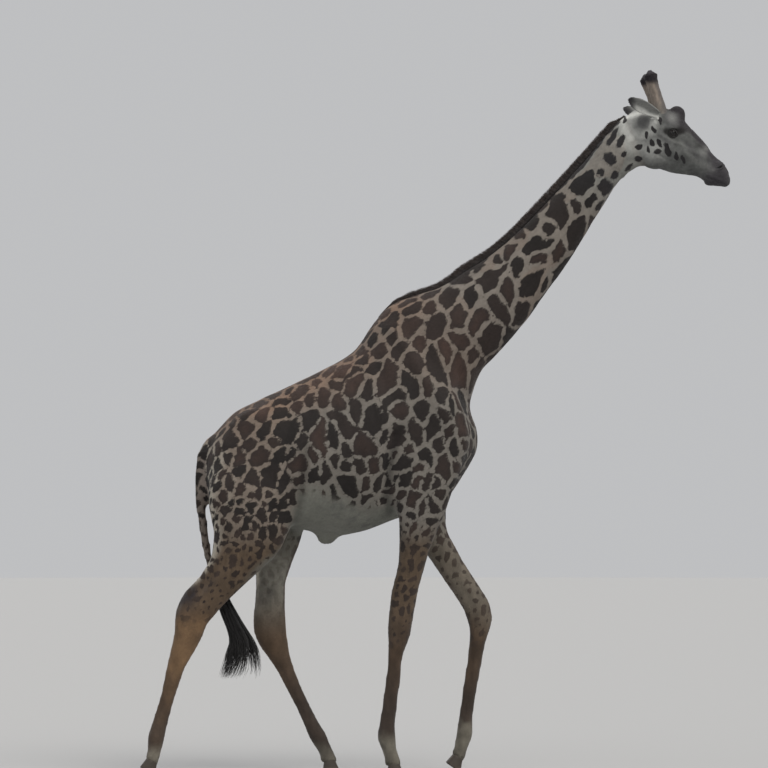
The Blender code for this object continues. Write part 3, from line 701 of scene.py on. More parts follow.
def linear(rgb):
    # from a seen colour to the light it stands for
    c = np.array(rgb, float) / 255.0
    return np.where(c <= 0.04045, c / 12.92, ((c + 0.055) / 1.055) ** 2.4)


def washed(colour, name, share):
    # lays one of the coat's colours over what is there, by a share at each place
    share = np.clip(share, 0, 1)[:, None]
    return colour * (1 - share) + linear(coatColours[name]) * share


def measureCrest(places):
    # the height of the neck's upper edge, step by step up the neck
    along, over = alongNeck(places), overNeck(places)
    return np.array([over[np.abs(along - step) < 0.05].max(initial=0.1) for step in crestSteps])


crestSteps = np.arange(-0.6, 2.0, 0.06)
crestLine = measureCrest(readPlaces(skinMesh))


def crestDepth(places):
    # how far below the neck's upper edge a place lies, measured square to the neck
    return np.interp(alongNeck(places), crestSteps, crestLine) - overNeck(places)


# The pattern is planned at a few places on the side: distance between patches, how much longer than wide
# they are, which way their long side leans (degrees from forwards), half the width of the lines, and how
# frayed they are.
patternPlan = np.array([  # x, z, distance, length share, lean, half line, fray
    (1.00, 3.90, 0.126, 1.50, 70, 0.0180, 0.95),
    (0.75, 3.55, 0.148, 1.60, 75, 0.0180, 1.10),
    (0.45, 3.10, 0.155, 1.70, 85, 0.0170, 1.15),
    (0.22, 2.80, 0.138, 1.70, 100, 0.0145, 1.15),
    (-0.25, 3.00, 0.115, 1.20, 60, 0.0115, 1.05),
    (-0.05, 2.62, 0.124, 1.90, 105, 0.0115, 0.96),
    (0.14, 2.20, 0.098, 1.80, 110, 0.0100, 0.98),
    (-0.15, 1.92, 0.084, 1.45, 65, 0.0095, 1.10),
    (-0.60, 2.85, 0.108, 1.25, 15, 0.0100, 1.00),
    (-0.62, 2.38, 0.114, 2.00, 98, 0.0100, 1.04),
    (-0.60, 2.08, 0.090, 1.50, 95, 0.0100, 1.14),
    (-1.10, 2.78, 0.098, 1.15, 20, 0.0100, 1.06),
    (-1.15, 2.42, 0.120, 1.30, 10, 0.0095, 1.18),
    (-1.20, 2.02, 0.097, 1.25, 60, 0.0085, 1.21),
    (-1.20, 1.74, 0.060, 1.15, 60, 0.0085, 1.14),
    (-1.40, 1.45, 0.047, 1.10, 60, 0.0110, 0.90),
    (-1.50, 1.15, 0.044, 1.10, 60, 0.0150, 0.70),
    (-0.22, 1.62, 0.054, 1.20, 70, 0.0115, 0.90),
    (-0.28, 1.20, 0.046, 1.20, 70, 0.0125, 0.75),
    (-0.34, 0.85, 0.040, 1.10, 70, 0.0140, 0.70),
    (0.20, 1.30, 0.046, 1.20, 60, 0.0130, 0.75),
])

# Spots of the cheek, jaw and upper neck: x, z, half length, half width, lean in degrees.
headSpots = np.array([
    (1.521, 4.105, 0.050, 0.021, -68), (1.580, 4.068, 0.029, 0.016, -80), (1.626, 4.046, 0.029, 0.014, -65),
    (1.458, 4.097, 0.024, 0.021, -45), (1.466, 4.152, 0.030, 0.015, -60), (1.420, 4.156, 0.024, 0.013, -80),
    (1.395, 4.110, 0.029, 0.012, 90), (1.382, 4.202, 0.024, 0.012, 90), (1.428, 4.240, 0.026, 0.014, -65),
    (1.470, 4.299, 0.025, 0.012, -75), (1.332, 4.131, 0.026, 0.020, 30), (1.332, 4.051, 0.027, 0.020, -20),
    (1.231, 4.080, 0.024, 0.018, 70), (1.214, 4.166, 0.050, 0.022, 62), (1.163, 4.202, 0.072, 0.019, 62),
    (1.241, 4.307, 0.024, 0.011, 80), (1.176, 3.946, 0.034, 0.023, 65), (1.142, 4.051, 0.048, 0.036, -60),
    (1.273, 3.996, 0.034, 0.016, 40), (1.000, 3.880, 0.060, 0.038, 60), (1.075, 3.950, 0.040, 0.026, 55),
])


def planAt(places):
    # the plan's rows, each weighing as one over its distance to the fourth power
    flat = places[:, [0, 2]]
    weight = 1 / (((flat[:, None, :] - patternPlan[None, :, :2]) ** 2).sum(axis=2) + 0.003) ** 2
    weight /= weight.sum(axis=1, keepdims=True)
    return weight @ patternPlan[:, 2:]


def onHeadSide(places):
    # 0 on the neck, 1 past the slanting line where the head's own spots take over
    return ramp(0.80, 0.86, neckShare(places)) * ramp(0.7, 0.95, places[:, 0])


def sowPatches(places):
    # patch middles are tried at random on the skin and kept when no kept one is too near
    tries = places[chance.permutation(len(places))[:22000]]  # more than enough to fill the body
    tries = tries[onHeadSide(tries) < 0.5]
    plan = planAt(tries)
    plan[:, 0] *= 0.72 + 0.56 * chance.random(len(tries))
    lean = np.radians(plan[:, 2] + 22 * chance.standard_normal(len(tries)))
    axes = np.column_stack([np.cos(lean), np.zeros(len(lean)), np.sin(lean)])
    kept = []
    keptPlaces = np.empty((4000, 3))
    for number, place in enumerate(tries):
        away = keptPlaces[:len(kept)] - place
        far = (away ** 2).sum(axis=1) - (1 - 1 / plan[number, 1] ** 2) * (away @ axes[number]) ** 2
        if len(kept) == 0 or far.min() > (0.84 * plan[number, 0]) ** 2:
            keptPlaces[len(kept)] = place
            kept.append(number)
    return {
        "place": tries[kept], "axis": axes[kept], "space": plan[kept, 0],
        "squash": 1 - 1 / plan[kept, 1] ** 2, "tone": chance.random(len(kept)),
    }


sown = sowPatches(readPlaces(skinMesh))


def farFrom(places, which):
    # distance to a sown patch in that patch's stretched measure, and the way it grows
    away, axis = places - sown["place"][which], sown["axis"][which]
    squash, space = sown["squash"][which], sown["space"][which]
    run = (away * axis).sum(axis=1)
    far = np.sqrt(np.maximum((away ** 2).sum(axis=1) - squash * run ** 2, 1e-9)) / space
    grow = (away - (squash * run)[:, None] * axis) / (far * space ** 2)[:, None]
    return far, grow


def patchField(places):
    # metres inside the nearest patch's edge: the difference between the distances to this patch and to the
    # next, over how fast that difference grows; the third nearest rounds the corners by a smooth minimum
    bend = np.column_stack([latticeNoise(places, 0.13, seed) for seed in (11, 12, 13)])
    lobes = np.column_stack([latticeNoise(places, 0.045, seed) for seed in (14, 15, 16)])
    warped = places + 0.018 * bend + 0.005 * lobes
    order = np.lexsort(np.floor(warped / 0.25).T)
    nearest = np.zeros((len(places), 3), int)
    for start in range(0, len(places), 4000):
        mine = order[start:start + 4000]
        part = warped[mine]
        low, high = part.min(axis=0) - 0.32, part.max(axis=0) + 0.32
        close = np.flatnonzero(((sown["place"] > low) & (sown["place"] < high)).all(axis=1))
        if len(close) < 3:
            close = np.arange(len(sown["space"]))
        seeds, axes = sown["place"][close], sown["axis"][close]
        run = part @ axes.T - (seeds * axes).sum(axis=1)
        square = (part ** 2).sum(axis=1)[:, None] + (seeds ** 2).sum(axis=1) - 2 * part @ seeds.T
        far = (square - sown["squash"][close] * run ** 2) / sown["space"][close] ** 2
        for rank in range(3):
            pick = far.argmin(axis=1)
            nearest[mine, rank] = close[pick]
            far[np.arange(len(mine)), pick] = 1e9
    first, firstGrow = farFrom(warped, nearest[:, 0])
    inside = []
    for rank in (1, 2):
        other, otherGrow = farFrom(warped, nearest[:, rank])
        inside.append((other - first) / np.linalg.norm(otherGrow - firstGrow, axis=1))
    a, b = np.minimum(inside, 0.2)
    soft = 0.0055  # metres over which a corner is rounded
    return -soft * np.log(np.exp(-a / soft) + np.exp(-b / soft)), sown["tone"][nearest[:, 0]]


def headSpotField(places):
    # under 1 inside a spot: distance to each ellipse's middle over its half sizes; the left side's sit a
    # little higher and further back
    shift = np.where(places[:, 1] > 0, 1.0, 0.0)
    flat = places[:, [0, 2]] + np.column_stack([0.018 * shift, -0.012 * shift])
    flat = flat + 0.008 * np.column_stack([latticeNoise(places, 0.028, seed) for seed in (17, 18)])
    lean = np.radians(headSpots[:, 4])
    away = flat[:, None, :] - headSpots[None, :, :2]
    run = away[..., 0] * np.cos(lean) + away[..., 1] * np.sin(lean)
    side = away[..., 1] * np.cos(lean) - away[..., 0] * np.sin(lean)
    return np.sqrt(((run / headSpots[:, 2]) ** 2 + (side / headSpots[:, 3]) ** 2).min(axis=1))


pasternTop = {  # the height where the pale foot starts
    "fore_right": 0.290, "fore_left": 0.350, "hind_right": 0.190, "hind_left": 0.165,
}
headWhites = (
    # share, reach, how much the edge wavers, where, and the line's points (x, z)
    (0.75, 0.036, 0.25, "all", ((1.222, 4.31), (1.245, 4.24), (1.28, 4.19))),  # nape to throat
    (0.60, 0.014, 0.0, "all", ((1.437, 4.305), (1.443, 4.285))),  # under the ear
    (0.36, 0.070, 0.25, "side", ((1.26, 4.16), (1.40, 4.10), (1.50, 4.16))),  # cheek
    (0.42, 0.036, 0.25, "bare side",  # ring round the temple
     ((1.275, 4.34), (1.275, 4.24), (1.34, 4.19), (1.42, 4.23), (1.43, 4.31))),
)
headWashes = (
    # colour, share, reach, how much the edge wavers, where, and the line's points (x, z)
    ("muzzle", 0.60, 0.030, 0.0, "all", ((1.70, 3.945), (1.78, 3.900), (1.86, 3.875))),  # lips
    ("pale", 0.16, 0.024, 0.25, "side", ((1.762, 4.095), (1.790, 4.132))),  # over the nostril
    ("pale", 0.10, 0.022, 0.25, "side", ((1.60, 4.16), (1.72, 4.03), (1.82, 3.98))),  # cheek bone
    ("socket", 0.45, 0.014, 0.25, "side", ((1.705, 4.134), (1.738, 4.140))),
    ("temple", 0.60, 0.024, 0.25, "all", ((1.655, 4.150), (1.705, 4.085), (1.735, 4.060))),
    ("temple", 0.55, 0.028, 0.25, "side", ((1.480, 4.205), (1.520, 4.150))),  # under the eye
)
whiteBand = ((1.225, 4.318), (1.32, 4.352), (1.42, 4.375), (1.480, 4.398))
profile = ((1.545, 4.415), (1.590, 4.400), (1.636, 4.366), (1.652, 4.299), (1.710, 4.232), (1.785, 4.164),
           (1.830, 4.097))
browBand = ((1.618, 4.385), (1.624, 4.310), (1.604, 4.240))
# the band under the brow where shade is painted over the eye
socketShadeBand = ((1.512, 4.226), (1.550, 4.206), (1.612, 4.232))
foldShadeLines = (
    # share, reach and points (x, z) of the folds at elbow and flank, where shade is painted into the coat
    (1.0, 0.034, ((-0.242, 2.264), (-0.308, 2.020), (-0.328, 1.802), (-0.275, 1.624))),
    (0.75, 0.028, ((-0.856, 2.15), (-0.869, 1.934), (-0.902, 1.736), (-0.961, 1.59))),
)


def legGround(ground, places, normals, leg, inner, hind, loose, fine):
    # tan with spots above, orange brown below, dark over the fetlock, pale at the pastern
    x, z = places[:, 0], places[:, 2]
    outerHind = hind * (1 - inner)
    ground = washed(ground, "upperLeg", leg)
    ground = washed(ground, "innerLeg", inner * (0.45 + 0.55 * hind) * ramp(0.85, 1.15, z + 0.08 * loose))
    # paler where the hind thigh faces backwards: partly the coat's paler hair, partly painted rim light
    paleRearAndRimLight = ramp(0.30, 0.80, -normals[:, 0] + 0.1 * loose) * hind
    ground = washed(ground, "paleEdgeAndRimLight", paleRearAndRimLight * ramp(1.0, 1.2, z) * ramp(2.30, 2.0, z) * 0.85)
    joint = np.where(hind > 0.5, 1.02, 0.92)
    below = ramp(joint + 0.25, joint - 0.10, z + 0.06 * loose)
    ground = washed(ground, "lowerLeg", below * (1 - 0.25 * inner))
    below = ramp(1.12, 0.95, z + 0.05 * loose)
    ground = washed(ground, "hindCannon", outerHind * below * (0.66 + 0.30 * loose + 0.25 * fine))
    below = ramp(0.86 - 0.16 * outerHind, 0.36 - 0.10 * outerHind, z + 0.05 * loose)
    knee = bell(z - joint, 0.09) * (1 - inner) * (1 - hind)
    ground = washed(ground, "fetlock", below * 0.85 + 0.30 * knee)
    nearest = nearestLeg(places)
    under = z - np.choose(nearest, [pasternTop[name] for name in legNames])
    ground = washed(ground, "pastern", (0.8 + 0.2 * fine) * ramp(0.030, -0.075, under + 0.05 * fine))
    streaks = latticeNoise(places * np.array([1, 1, 0.22]), 0.020, 10)
    ground = ground * (1 + leg * (0.16 * streaks + 0.16 * loose + 0.12 * fine - 0.16 * (1 - hind)))[:, None]
    rearLines = [np.interp(z, line[:, 0], line[:, 1] - line[:, 3]) for line in legLine.values()]
    rear = x - np.choose(nearest, rearLines)
    hock = ramp(0.19, 0.08, rear + 0.05 * fine + 0.03 * loose)
    hock = hind * hock * bell(z - 1.145 + 0.04 * fine - 0.4 * rear, 0.078)
    return washed(ground, "bridge", 0.92 * hock * (1 - 0.6 * inner))


def bellyGround(ground, places, normals, loose, fine):
    # pale, with only smudges along its upper edge; gives the belly's share too
    x, y, z = places.T
    slope = 0.20 * np.clip(x + 0.84, 0, 0.22) + 0.65 * np.clip(x + 0.62, 0, 0.4)
    upper = z + slope + 0.06 * loose + 0.05 * fine
    rear = ramp(-0.05, 0.03, x + 0.869 + 0.27 * (1.93 - z) + 0.03 * fine)
    belly = ramp(1.945, 1.815, upper) * rear * ramp(-0.20, -0.36, x)
    belly = belly * np.maximum(ramp(1.50, 1.62, z), (z > 1.40) * (np.abs(y) < 0.08))
    belly = np.maximum(belly, ramp(-0.35, -0.75, normals[:, 2]) * ramp(1.2, 1.45, z) * ramp(0.1, -0.1, x))
    ground = washed(ground, "belly", belly)
    smudge = ramp(0.08, 0.34, latticeNoise(places, 0.034, 19)) * bell(upper - 1.80, 0.075)
    smudge = smudge * ramp(-0.80, -0.62, x)
    return washed(ground, "temple", 0.42 * smudge * belly * (x < -0.25)), belly


def headGround(ground, places, normals, onHead, loose, fine):
    # grey cheek, white band from the horn to the nape, dark boss, bridge and muzzle, painted shade in the
    # eye's socket, and a painted shadow under the ear
    x, z = places[:, 0], places[:, 2]
    eyeX, eyeZ = eyeCentres["left"][[0, 2]]
    away = places - np.array([eyeX, 0, eyeZ])
    u, v = away @ headAxis, away @ headUp
    side = ramp(0.15, 0.6, np.abs(normals[:, 1]))
    ears = isEar(places)
    where = {"all": 1.0, "side": side, "bare side": side * ~ears}

    def band(points, reach, waver=0.25):
        return onSide(places, points, reach * (1 + waver * fine))

    ground = washed(ground, "cheek", onHead)
    streaks = 0.24 * latticeNoise(places, 0.016, 7) + 0.14 * latticeNoise(places, 0.045, 8) + 0.10 * fine
    ground = ground * (1 + streaks * onHead)[:, None]

    earEdge = (x - 1.446) * -0.362 + (z - 4.352) * -0.932
    earWhite = (0.34 + 0.55 * ramp(0.002, 0.024, earEdge + 0.008 * fine)) * ramp(1.27, 1.33, x)
    whites = np.where(ears, earWhite, 0.95 * band(whiteBand, 0.024))
    for share, reach, waver, name, points in headWhites:
        whites = np.maximum(whites, share * band(points, reach, waver) * where[name])
    ground = washed(ground, "pale", whites * ramp(1.10, 1.18, x))
    ground = washed(ground, "temple", np.where(ears, 0.25 + 0.25 * fine, 0.0) * (1 - whites))

    # painted shadow under the ear: a grey oval on the side of the head
    oval = np.hypot((x - 1.360) / 0.041, (z - 4.288) / 0.050) + 0.20 * fine + 0.1 * loose
    ground = washed(ground, "temple", 0.60 * side * ramp(1.12, 0.80, oval))
    ring = np.hypot((x - 1.555) * 0.9, z - 4.315) - 0.03
    ground = washed(ground, "temple", 0.85 * ramp(0.055, 0.0, ring) * ramp(1.47, 1.51, x))
    ground = washed(ground, "pale", 0.22 * bell(np.hypot(x - 1.546, z - 4.318), 0.032))
    nose = band(profile, 0.042) + 0.16 * fine + 0.10 * loose
    ground = washed(ground, "bridge", 0.95 * ramp(0.06, 0.78, nose) * onHead)
    ground = washed(ground, "bridge", 0.95 * band(browBand, 0.027))
    ahead = u + 0.55 * np.clip(v, -0.12, 0.05) + 0.03 * fine
    ground = washed(ground, "muzzle", ramp(0.215, 0.335, ahead) * onHead * 0.9)
    for name, share, reach, waver, place, points in headWashes:
        ground = washed(ground, name, share * band(points, reach, waver) * where[place])
    # painted shade in the eye's hollow: a dark band under the brow and a dark ring on the lids
    socket = band(socketShadeBand, 0.027) + 0.20 * fine + 0.08 * loose
    ground = washed(ground, "socket", 0.92 * ramp(0.10, 0.80, socket) * side)
    toEye = np.hypot(x - eyeX, z - eyeZ) / eyeRadius
    ground = washed(ground, "socket", 0.90 * ramp(1.50, 1.15, toEye + 0.2 * fine) * side)
    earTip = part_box("ear_left")[0][0]
    tip = ramp(earTip + 0.075, earTip + 0.020, x + 0.035 * fine)
    ground = washed(ground, "bridge", 0.8 * tip * ears * (z > 4.25))
    for nostril in nostrils:
        ground = washed(ground, "socket", 0.8 * bell(np.linalg.norm(places - nostril, axis=1), 0.017))
    return ground


def markings(places, normals):
    # for each place: the ground's and the patches' colours, and how the pattern is drawn there
    x, z = places[:, 0], places[:, 2]
    loose = latticeNoise(places, 0.16, 3)
    fine = latticeNoise(places, 0.05, 4)
    ears = isEar(places)
    onTail = isTail(places) & (x < tailStart)
    along = neckShare(places)
    onHead = ramp(-0.02, 0.05, pastHeadEdge(places) + 0.02 * loose)
    neck = ramp(-0.02, 0.22, along) * (1 - onHead)
    hind = ramp(-0.80, -1.05, x)
    rump = ramp(-0.75, -1.15, x + 0.05 * loose)
    top = ramp(0.30, 0.85, normals[:, 2]) * (1 - neck) * (1 - onHead)
    high = ramp(2.35, 2.75, z + 0.35 * rump)
    leg = ramp(1.74, 1.42, z - 0.05 * loose)
    inner = ramp(0.15, 0.6, -normals[:, 1] * outwardOf(places)) * ramp(1.9, 1.6, z)
    edge, tone = patchField(places)
    plan = planAt(places)

    ground = np.tile(linear(coatColours["sideGround"]), (len(places), 1))
    ground = washed(ground, "neckGround", neck)
    ground = washed(ground, "highNeck", ramp(0.60, 0.90, along + 0.08 * loose) * neck)
    ground = washed(ground, "rumpGround", rump * 0.8)
    # the back's warmer ground: by height it is the coat's own colour, on upward-facing coat it is painted
    # sunlight
    back = np.clip(0.35 * high + 0.9 * top, 0, 1) * (1 - neck)
    ground = washed(ground, "backGroundAndSunlight", back + 0.25 * neck * (loose > 0.1))
    ground = legGround(ground, places, normals, leg, inner, hind, loose, fine)
    ground, belly = bellyGround(ground, places, normals, loose, fine)
    ground = headGround(ground, places, normals, onHead, loose, fine)
    ground = np.where(onTail[:, None], linear(coatColours["tail"]), ground)

    # patches: nearly black, browner high on the back and in the middle of some, and browner on upward-facing
    # coat as painted sunlight
    patch = np.tile(linear(coatColours["patch"]), (len(places), 1))
    brown = (0.20 + 0.65 * top + 0.20 * high * (1 - neck)) + 0.5 * (tone - 0.6) * (1 - 0.6 * neck)
    brown = brown + 0.30 * ramp(0.018, 0.050, edge) * ramp(0.45, 0.85, tone) - 0.06
    patch = washed(patch, "backPatchAndSunlight", brown)
    patch = washed(patch, "legSpot", leg)
    patch = washed(patch, "headSpot", ramp(0.62, 0.85, along) * ramp(0.6, 0.9, x))

    # where the pattern shows, how wide its lines are, and the dark crest under the mane
    headSide = onHeadSide(places)
    show = 1 - ramp(0.30, 1.0, belly + 0.25 * fine)
    show = show * ramp(0.75, 0.55, headSide)
    show = show * ramp(0.86, 1.10, np.where(hind > 0.5, z - 0.04, z + 0.14) + 0.05 * loose)
    show = show * (1 - inner * (0.15 + 0.60 * hind + 0.20 * loose))
    crest = ramp(0.026, 0.004, crestDepth(places) + 0.020 * loose + 0.014 * fine)
    crest = crest * ramp(-0.14, -0.02, along) * (1 - onHead)
    show = np.maximum(np.where(onTail, 1.0, show), ramp(0.35, 0.65, crest + 0.15 * fine) * (1 - onHead))
    line = plan[:, 3] * (1 + 0.30 * loose + 0.35 * neck * latticeNoise(places, 0.09, 9))
    line = line - 0.030 * crest + (0.022 * belly + 0.03 * headSide) * (1 - crest)
    spot = np.where((headSide > 0.3) & ~ears, headSpotField(places), 3.0)

    # painted shade: ground and patches darkened along the folds at elbow and flank
    foldShade = np.maximum.reduce([share * onSide(places, points, reach * (1 + 0.25 * fine))
                              for share, reach, points in foldShadeLines])
    foldShade = 1 - 0.52 * foldShade * ramp(0.2, 0.6, np.abs(normals[:, 1])) * (z > 1.5)
    return {
        "ground": ground * foldShade[:, None],
        "show": np.clip(show, 0, 1),
        "patch": patch * foldShade[:, None] * (0.70 + 0.60 * tone)[:, None],
        "edge": np.where(crest > 0.5, np.maximum(edge, 0.004), edge),
        "line": np.where(onTail, 0.0105, line),
        "fray": plan[:, 4],
        "spot": np.clip(spot, 0, 3),
    }


def markMesh(mesh, places, marks, shade):
    # the fields that the coat's materials read; the pattern's two lengths are kept in tenths of a metre
    setNumbers(mesh, "root", "FLOAT_VECTOR", places)
    setNumbers(mesh, "ground", "FLOAT_COLOR", np.column_stack([marks["ground"], marks["show"]]))
    setNumbers(mesh, "patch", "FLOAT_COLOR", np.column_stack([marks["patch"], marks["fray"]]))
    drawing = np.column_stack([marks["edge"] * 10, marks["line"] * 10, marks["spot"]])
    setNumbers(mesh, "drawing", "FLOAT_VECTOR", drawing)
    setNumbers(mesh, "shade", "FLOAT", shade)


# Shader building. Small helpers keep each material readable.


def addNode(tree, kind, inputs=(), **settings):
    # makes a node, sets it, and plugs its sockets
    made = tree.nodes.new(kind)
    for name, value in settings.items():
        setattr(made, name, value)
    for socket, source in inputs:
        plug(tree, made.inputs[socket], source)
    return made


def plug(tree, target, source):
    # a socket is linked, a number is set
    if isinstance(source, bpy.types.NodeSocket):
        tree.links.new(source, target)
    else:
        target.default_value = source


def sums(tree, operation, *inputs, clamp=False):
    # one sum of two or three values
    made = addNode(tree, "ShaderNodeMath", enumerate(inputs), operation=operation, use_clamp=clamp)
    return made.outputs[0]


def scaled(tree, vector, scale):
    # a colour or a vector times one value
    inputs = ((0, vector), ("Scale", scale))
    return addNode(tree, "ShaderNodeVectorMath", inputs, operation="SCALE").outputs[0]


def stretched(tree, vector, sizes):
    # a vector times another, axis by axis
    inputs = ((0, vector), (1, sizes))
    return addNode(tree, "ShaderNodeVectorMath", inputs, operation="MULTIPLY").outputs[0]


def axesOf(tree, vector):
    # a vector's three values
    return addNode(tree, "ShaderNodeSeparateXYZ", ((0, vector),)).outputs


def stepped(tree, value, low, high):
    # smooth step of a value between two limits
    inputs = (("Value", value), ("From Min", low), ("From Max", high))
    return addNode(tree, "ShaderNodeMapRange", inputs, interpolation_type="SMOOTHSTEP").outputs["Result"]


def blended(tree, share, first, second):
    # the first colour at share 0, the second at share 1
    inputs = (("Factor", share), (6, first), (7, second))
    return addNode(tree, "ShaderNodeMix", inputs, data_type="RGBA").outputs[2]


def grains(tree, place, scale, detail=2.0, roughness=0.5):
    # fractal noise about 0.5
    inputs = (("Vector", place), ("Scale", scale), ("Detail", detail), ("Roughness", roughness))
    return addNode(tree, "ShaderNodeTexNoise", inputs).outputs["Fac"]


def bump(tree, shader, height, strength, distance):
    # tilts the surface's light by a height
    inputs = (("Strength", strength), ("Distance", distance), ("Height", height))
    plug(tree, shader.inputs["Normal"], addNode(tree, "ShaderNodeBump", inputs).outputs["Normal"])


def attributeOf(tree, name):
    # a field of the mesh, by its name
    return addNode(tree, "ShaderNodeAttribute", attribute_name=name).outputs


patternLook = {
    "fray": 0.024, "frayScale": 21.0,  # lobes along the patches' edges
    "jag": 0.0105, "jagScale": 58.0,  # fine raggedness
    "soft": 0.0022,  # how far the colours run into each other, in metres
    "mottleScale": 62.0, "cloudScale": 9.0,  # fine and broad mottling of every colour
}


def makeMarkingsGroup():
    # dark is 1 on a patch and 0 on the lines: the distance inside a patch, frayed by two noises, is
    # compared with the line's half width; the head's spots are ellipses compared with 1 in the same way
    group = bpy.data.node_groups.new("coat markings", "ShaderNodeTree")
    for name in ("Place", "Edge", "Line", "Spot", "Fray", "Show"):
        kind = "NodeSocketVector" if name == "Place" else "NodeSocketFloat"
        group.interface.new_socket(name=name, in_out="INPUT", socket_type=kind)
    for name in ("Dark", "Tone"):
        group.interface.new_socket(name=name, in_out="OUTPUT", socket_type="NodeSocketFloat")
    given = addNode(group, "NodeGroupInput").outputs
    result = addNode(group, "NodeGroupOutput").inputs
    look, place = patternLook, given["Place"]
    lobes = sums(group, "SUBTRACT", grains(group, place, look["frayScale"]), 0.5)
    jags = sums(group, "SUBTRACT", grains(group, place, look["jagScale"], 3.0, 0.6), 0.5)
    frayed = sums(group, "MULTIPLY", sums(group, "MULTIPLY", lobes, given["Fray"]), look["fray"] * 2)
    ragged = sums(group, "MULTIPLY_ADD", jags, look["jag"] * 2, frayed)
    limits = [sums(group, operation, given["Line"], look["soft"]) for operation in ("SUBTRACT", "ADD")]
    body = stepped(group, sums(group, "ADD", given["Edge"], ragged), *limits)
    body = sums(group, "MULTIPLY", body, given["Show"])
    spot = stepped(group, sums(group, "MULTIPLY_ADD", jags, 0.7, given["Spot"]), 1.12, 0.90)
    plug(group, result["Dark"], sums(group, "MAXIMUM", body, spot, clamp=True))
    clouds = sums(group, "MULTIPLY", grains(group, place, look["cloudScale"], 3.0, 0.6), 0.5)
    mottle = grains(group, place, look["mottleScale"])
    plug(group, result["Tone"], sums(group, "MULTIPLY_ADD", mottle, 0.5, clouds))
    return group


markingsGroup = makeMarkingsGroup()


def coatColourIn(tree):
    # reads the fields of the mesh and gives the coat's colour and the root's place there
    names = ("ground", "patch", "drawing", "root")
    ground, patch, drawing, root = (attributeOf(tree, name) for name in names)
    edge, line, spot = axesOf(tree, drawing["Vector"])
    place = root["Vector"]
    inputs = (("Place", place), ("Edge", sums(tree, "MULTIPLY", edge, 0.1)),
              ("Line", sums(tree, "MULTIPLY", line, 0.1)), ("Spot", spot),
              ("Fray", patch["Alpha"]), ("Show", ground["Alpha"]))
    marks = addNode(tree, "ShaderNodeGroup", inputs, node_tree=markingsGroup).outputs
    light = scaled(tree, ground["Color"], sums(tree, "MULTIPLY_ADD", marks["Tone"], 0.9, 0.55))
    deep = scaled(tree, patch["Color"], sums(tree, "MULTIPLY_ADD", marks["Tone"], 1.2, 0.40))
    return blended(tree, marks["Dark"], light, deep), place


def newMaterial(name, **constants):
    # a material whose shader has some fixed values
    material = bpy.data.materials.new(name)
    material.use_nodes = True
    shader = material.node_tree.nodes["Principled BSDF"]
    for socket, value in constants.items():
        shader.inputs[socket.replace("_", " ")].default_value = value
    return material, material.node_tree, shader


def opaque(rgb):
    # a seen colour as a socket takes it
    return (*linear(rgb), 1)


def makeSkinMaterial():
    # the coat's colour over fine hair that runs down the body, and clumps of it
    material, tree, shader = newMaterial("short coat over skin", Sheen_Weight=0.12, Sheen_Roughness=0.5,
                                         Specular_IOR_Level=0.25)
    colour, root = coatColourIn(tree)
    hair = grains(tree, stretched(tree, root, (1.0, 1.0, 0.35)), 420.0, 2.0, 0.7)
    clumps = grains(tree, stretched(tree, root, (1.0, 1.0, 0.5)), 110.0, 3.0, 0.6)
    plug(tree, shader.inputs["Base Color"], scaled(tree, colour, sums(tree, "MULTIPLY_ADD", hair, 0.5, 0.75)))
    plug(tree, shader.inputs["Roughness"], sums(tree, "MULTIPLY_ADD", hair, 0.2, 0.62))
    bump(tree, shader, sums(tree, "MULTIPLY_ADD", clumps, 0.8, hair), 0.7, 0.0018)
    return material


def makeTuftMaterial():
    # the coat's colour times each tuft's own shade
    material, tree, shader = newMaterial("coat tufts", Sheen_Weight=0.10, Sheen_Roughness=0.5,
                                         Specular_IOR_Level=0.22, Roughness=0.72)
    colour, _ = coatColourIn(tree)
    plug(tree, shader.inputs["Base Color"], scaled(tree, colour, attributeOf(tree, "shade")["Fac"]))
    return material


def wear(piece, material):
    # the piece's one material
    piece.data.materials.clear()
    piece.data.materials.append(material)


skinPlaces = readPlaces(skinMesh)
skinNormals = readNormals(skinMesh)
markMesh(skinMesh, skinPlaces, markings(skinPlaces, skinNormals), np.ones(len(skinPlaces)))
skinMaterial = makeSkinMaterial()
wear(skin, skinMaterial)
tuftMaterial = makeTuftMaterial()
report("markings")


# Coat: tufts. Each is a slender closed wedge of four faces, root under the skin, tip lying along the body.

coatLook = {  # piece: tufts, length, width, height over the skin, in metres
    "coat_trunk_right": (46000, 0.0150, 0.0042, 0.0016),
    "coat_trunk_left": (46000, 0.0150, 0.0042, 0.0016),
    "coat_neck": (45000, 0.0145, 0.0040, 0.0015),
    "coat_head": (44000, 0.0075, 0.0019, 0.0008),
    "coat_fore_legs": (32000, 0.0110, 0.0030, 0.0012),
    "coat_hind_legs": (38000, 0.0115, 0.0032, 0.0013),
    "coat_tail": (9000, 0.0150, 0.0030, 0.0018),
}
legSplit = 1.58  # height where the trunk's coat hands over to the legs'


def flattened(vectors, normals):
    # the vectors laid along the surface, one long
    return unit(vectors - normals * (vectors * normals).sum(axis=1)[:, None])


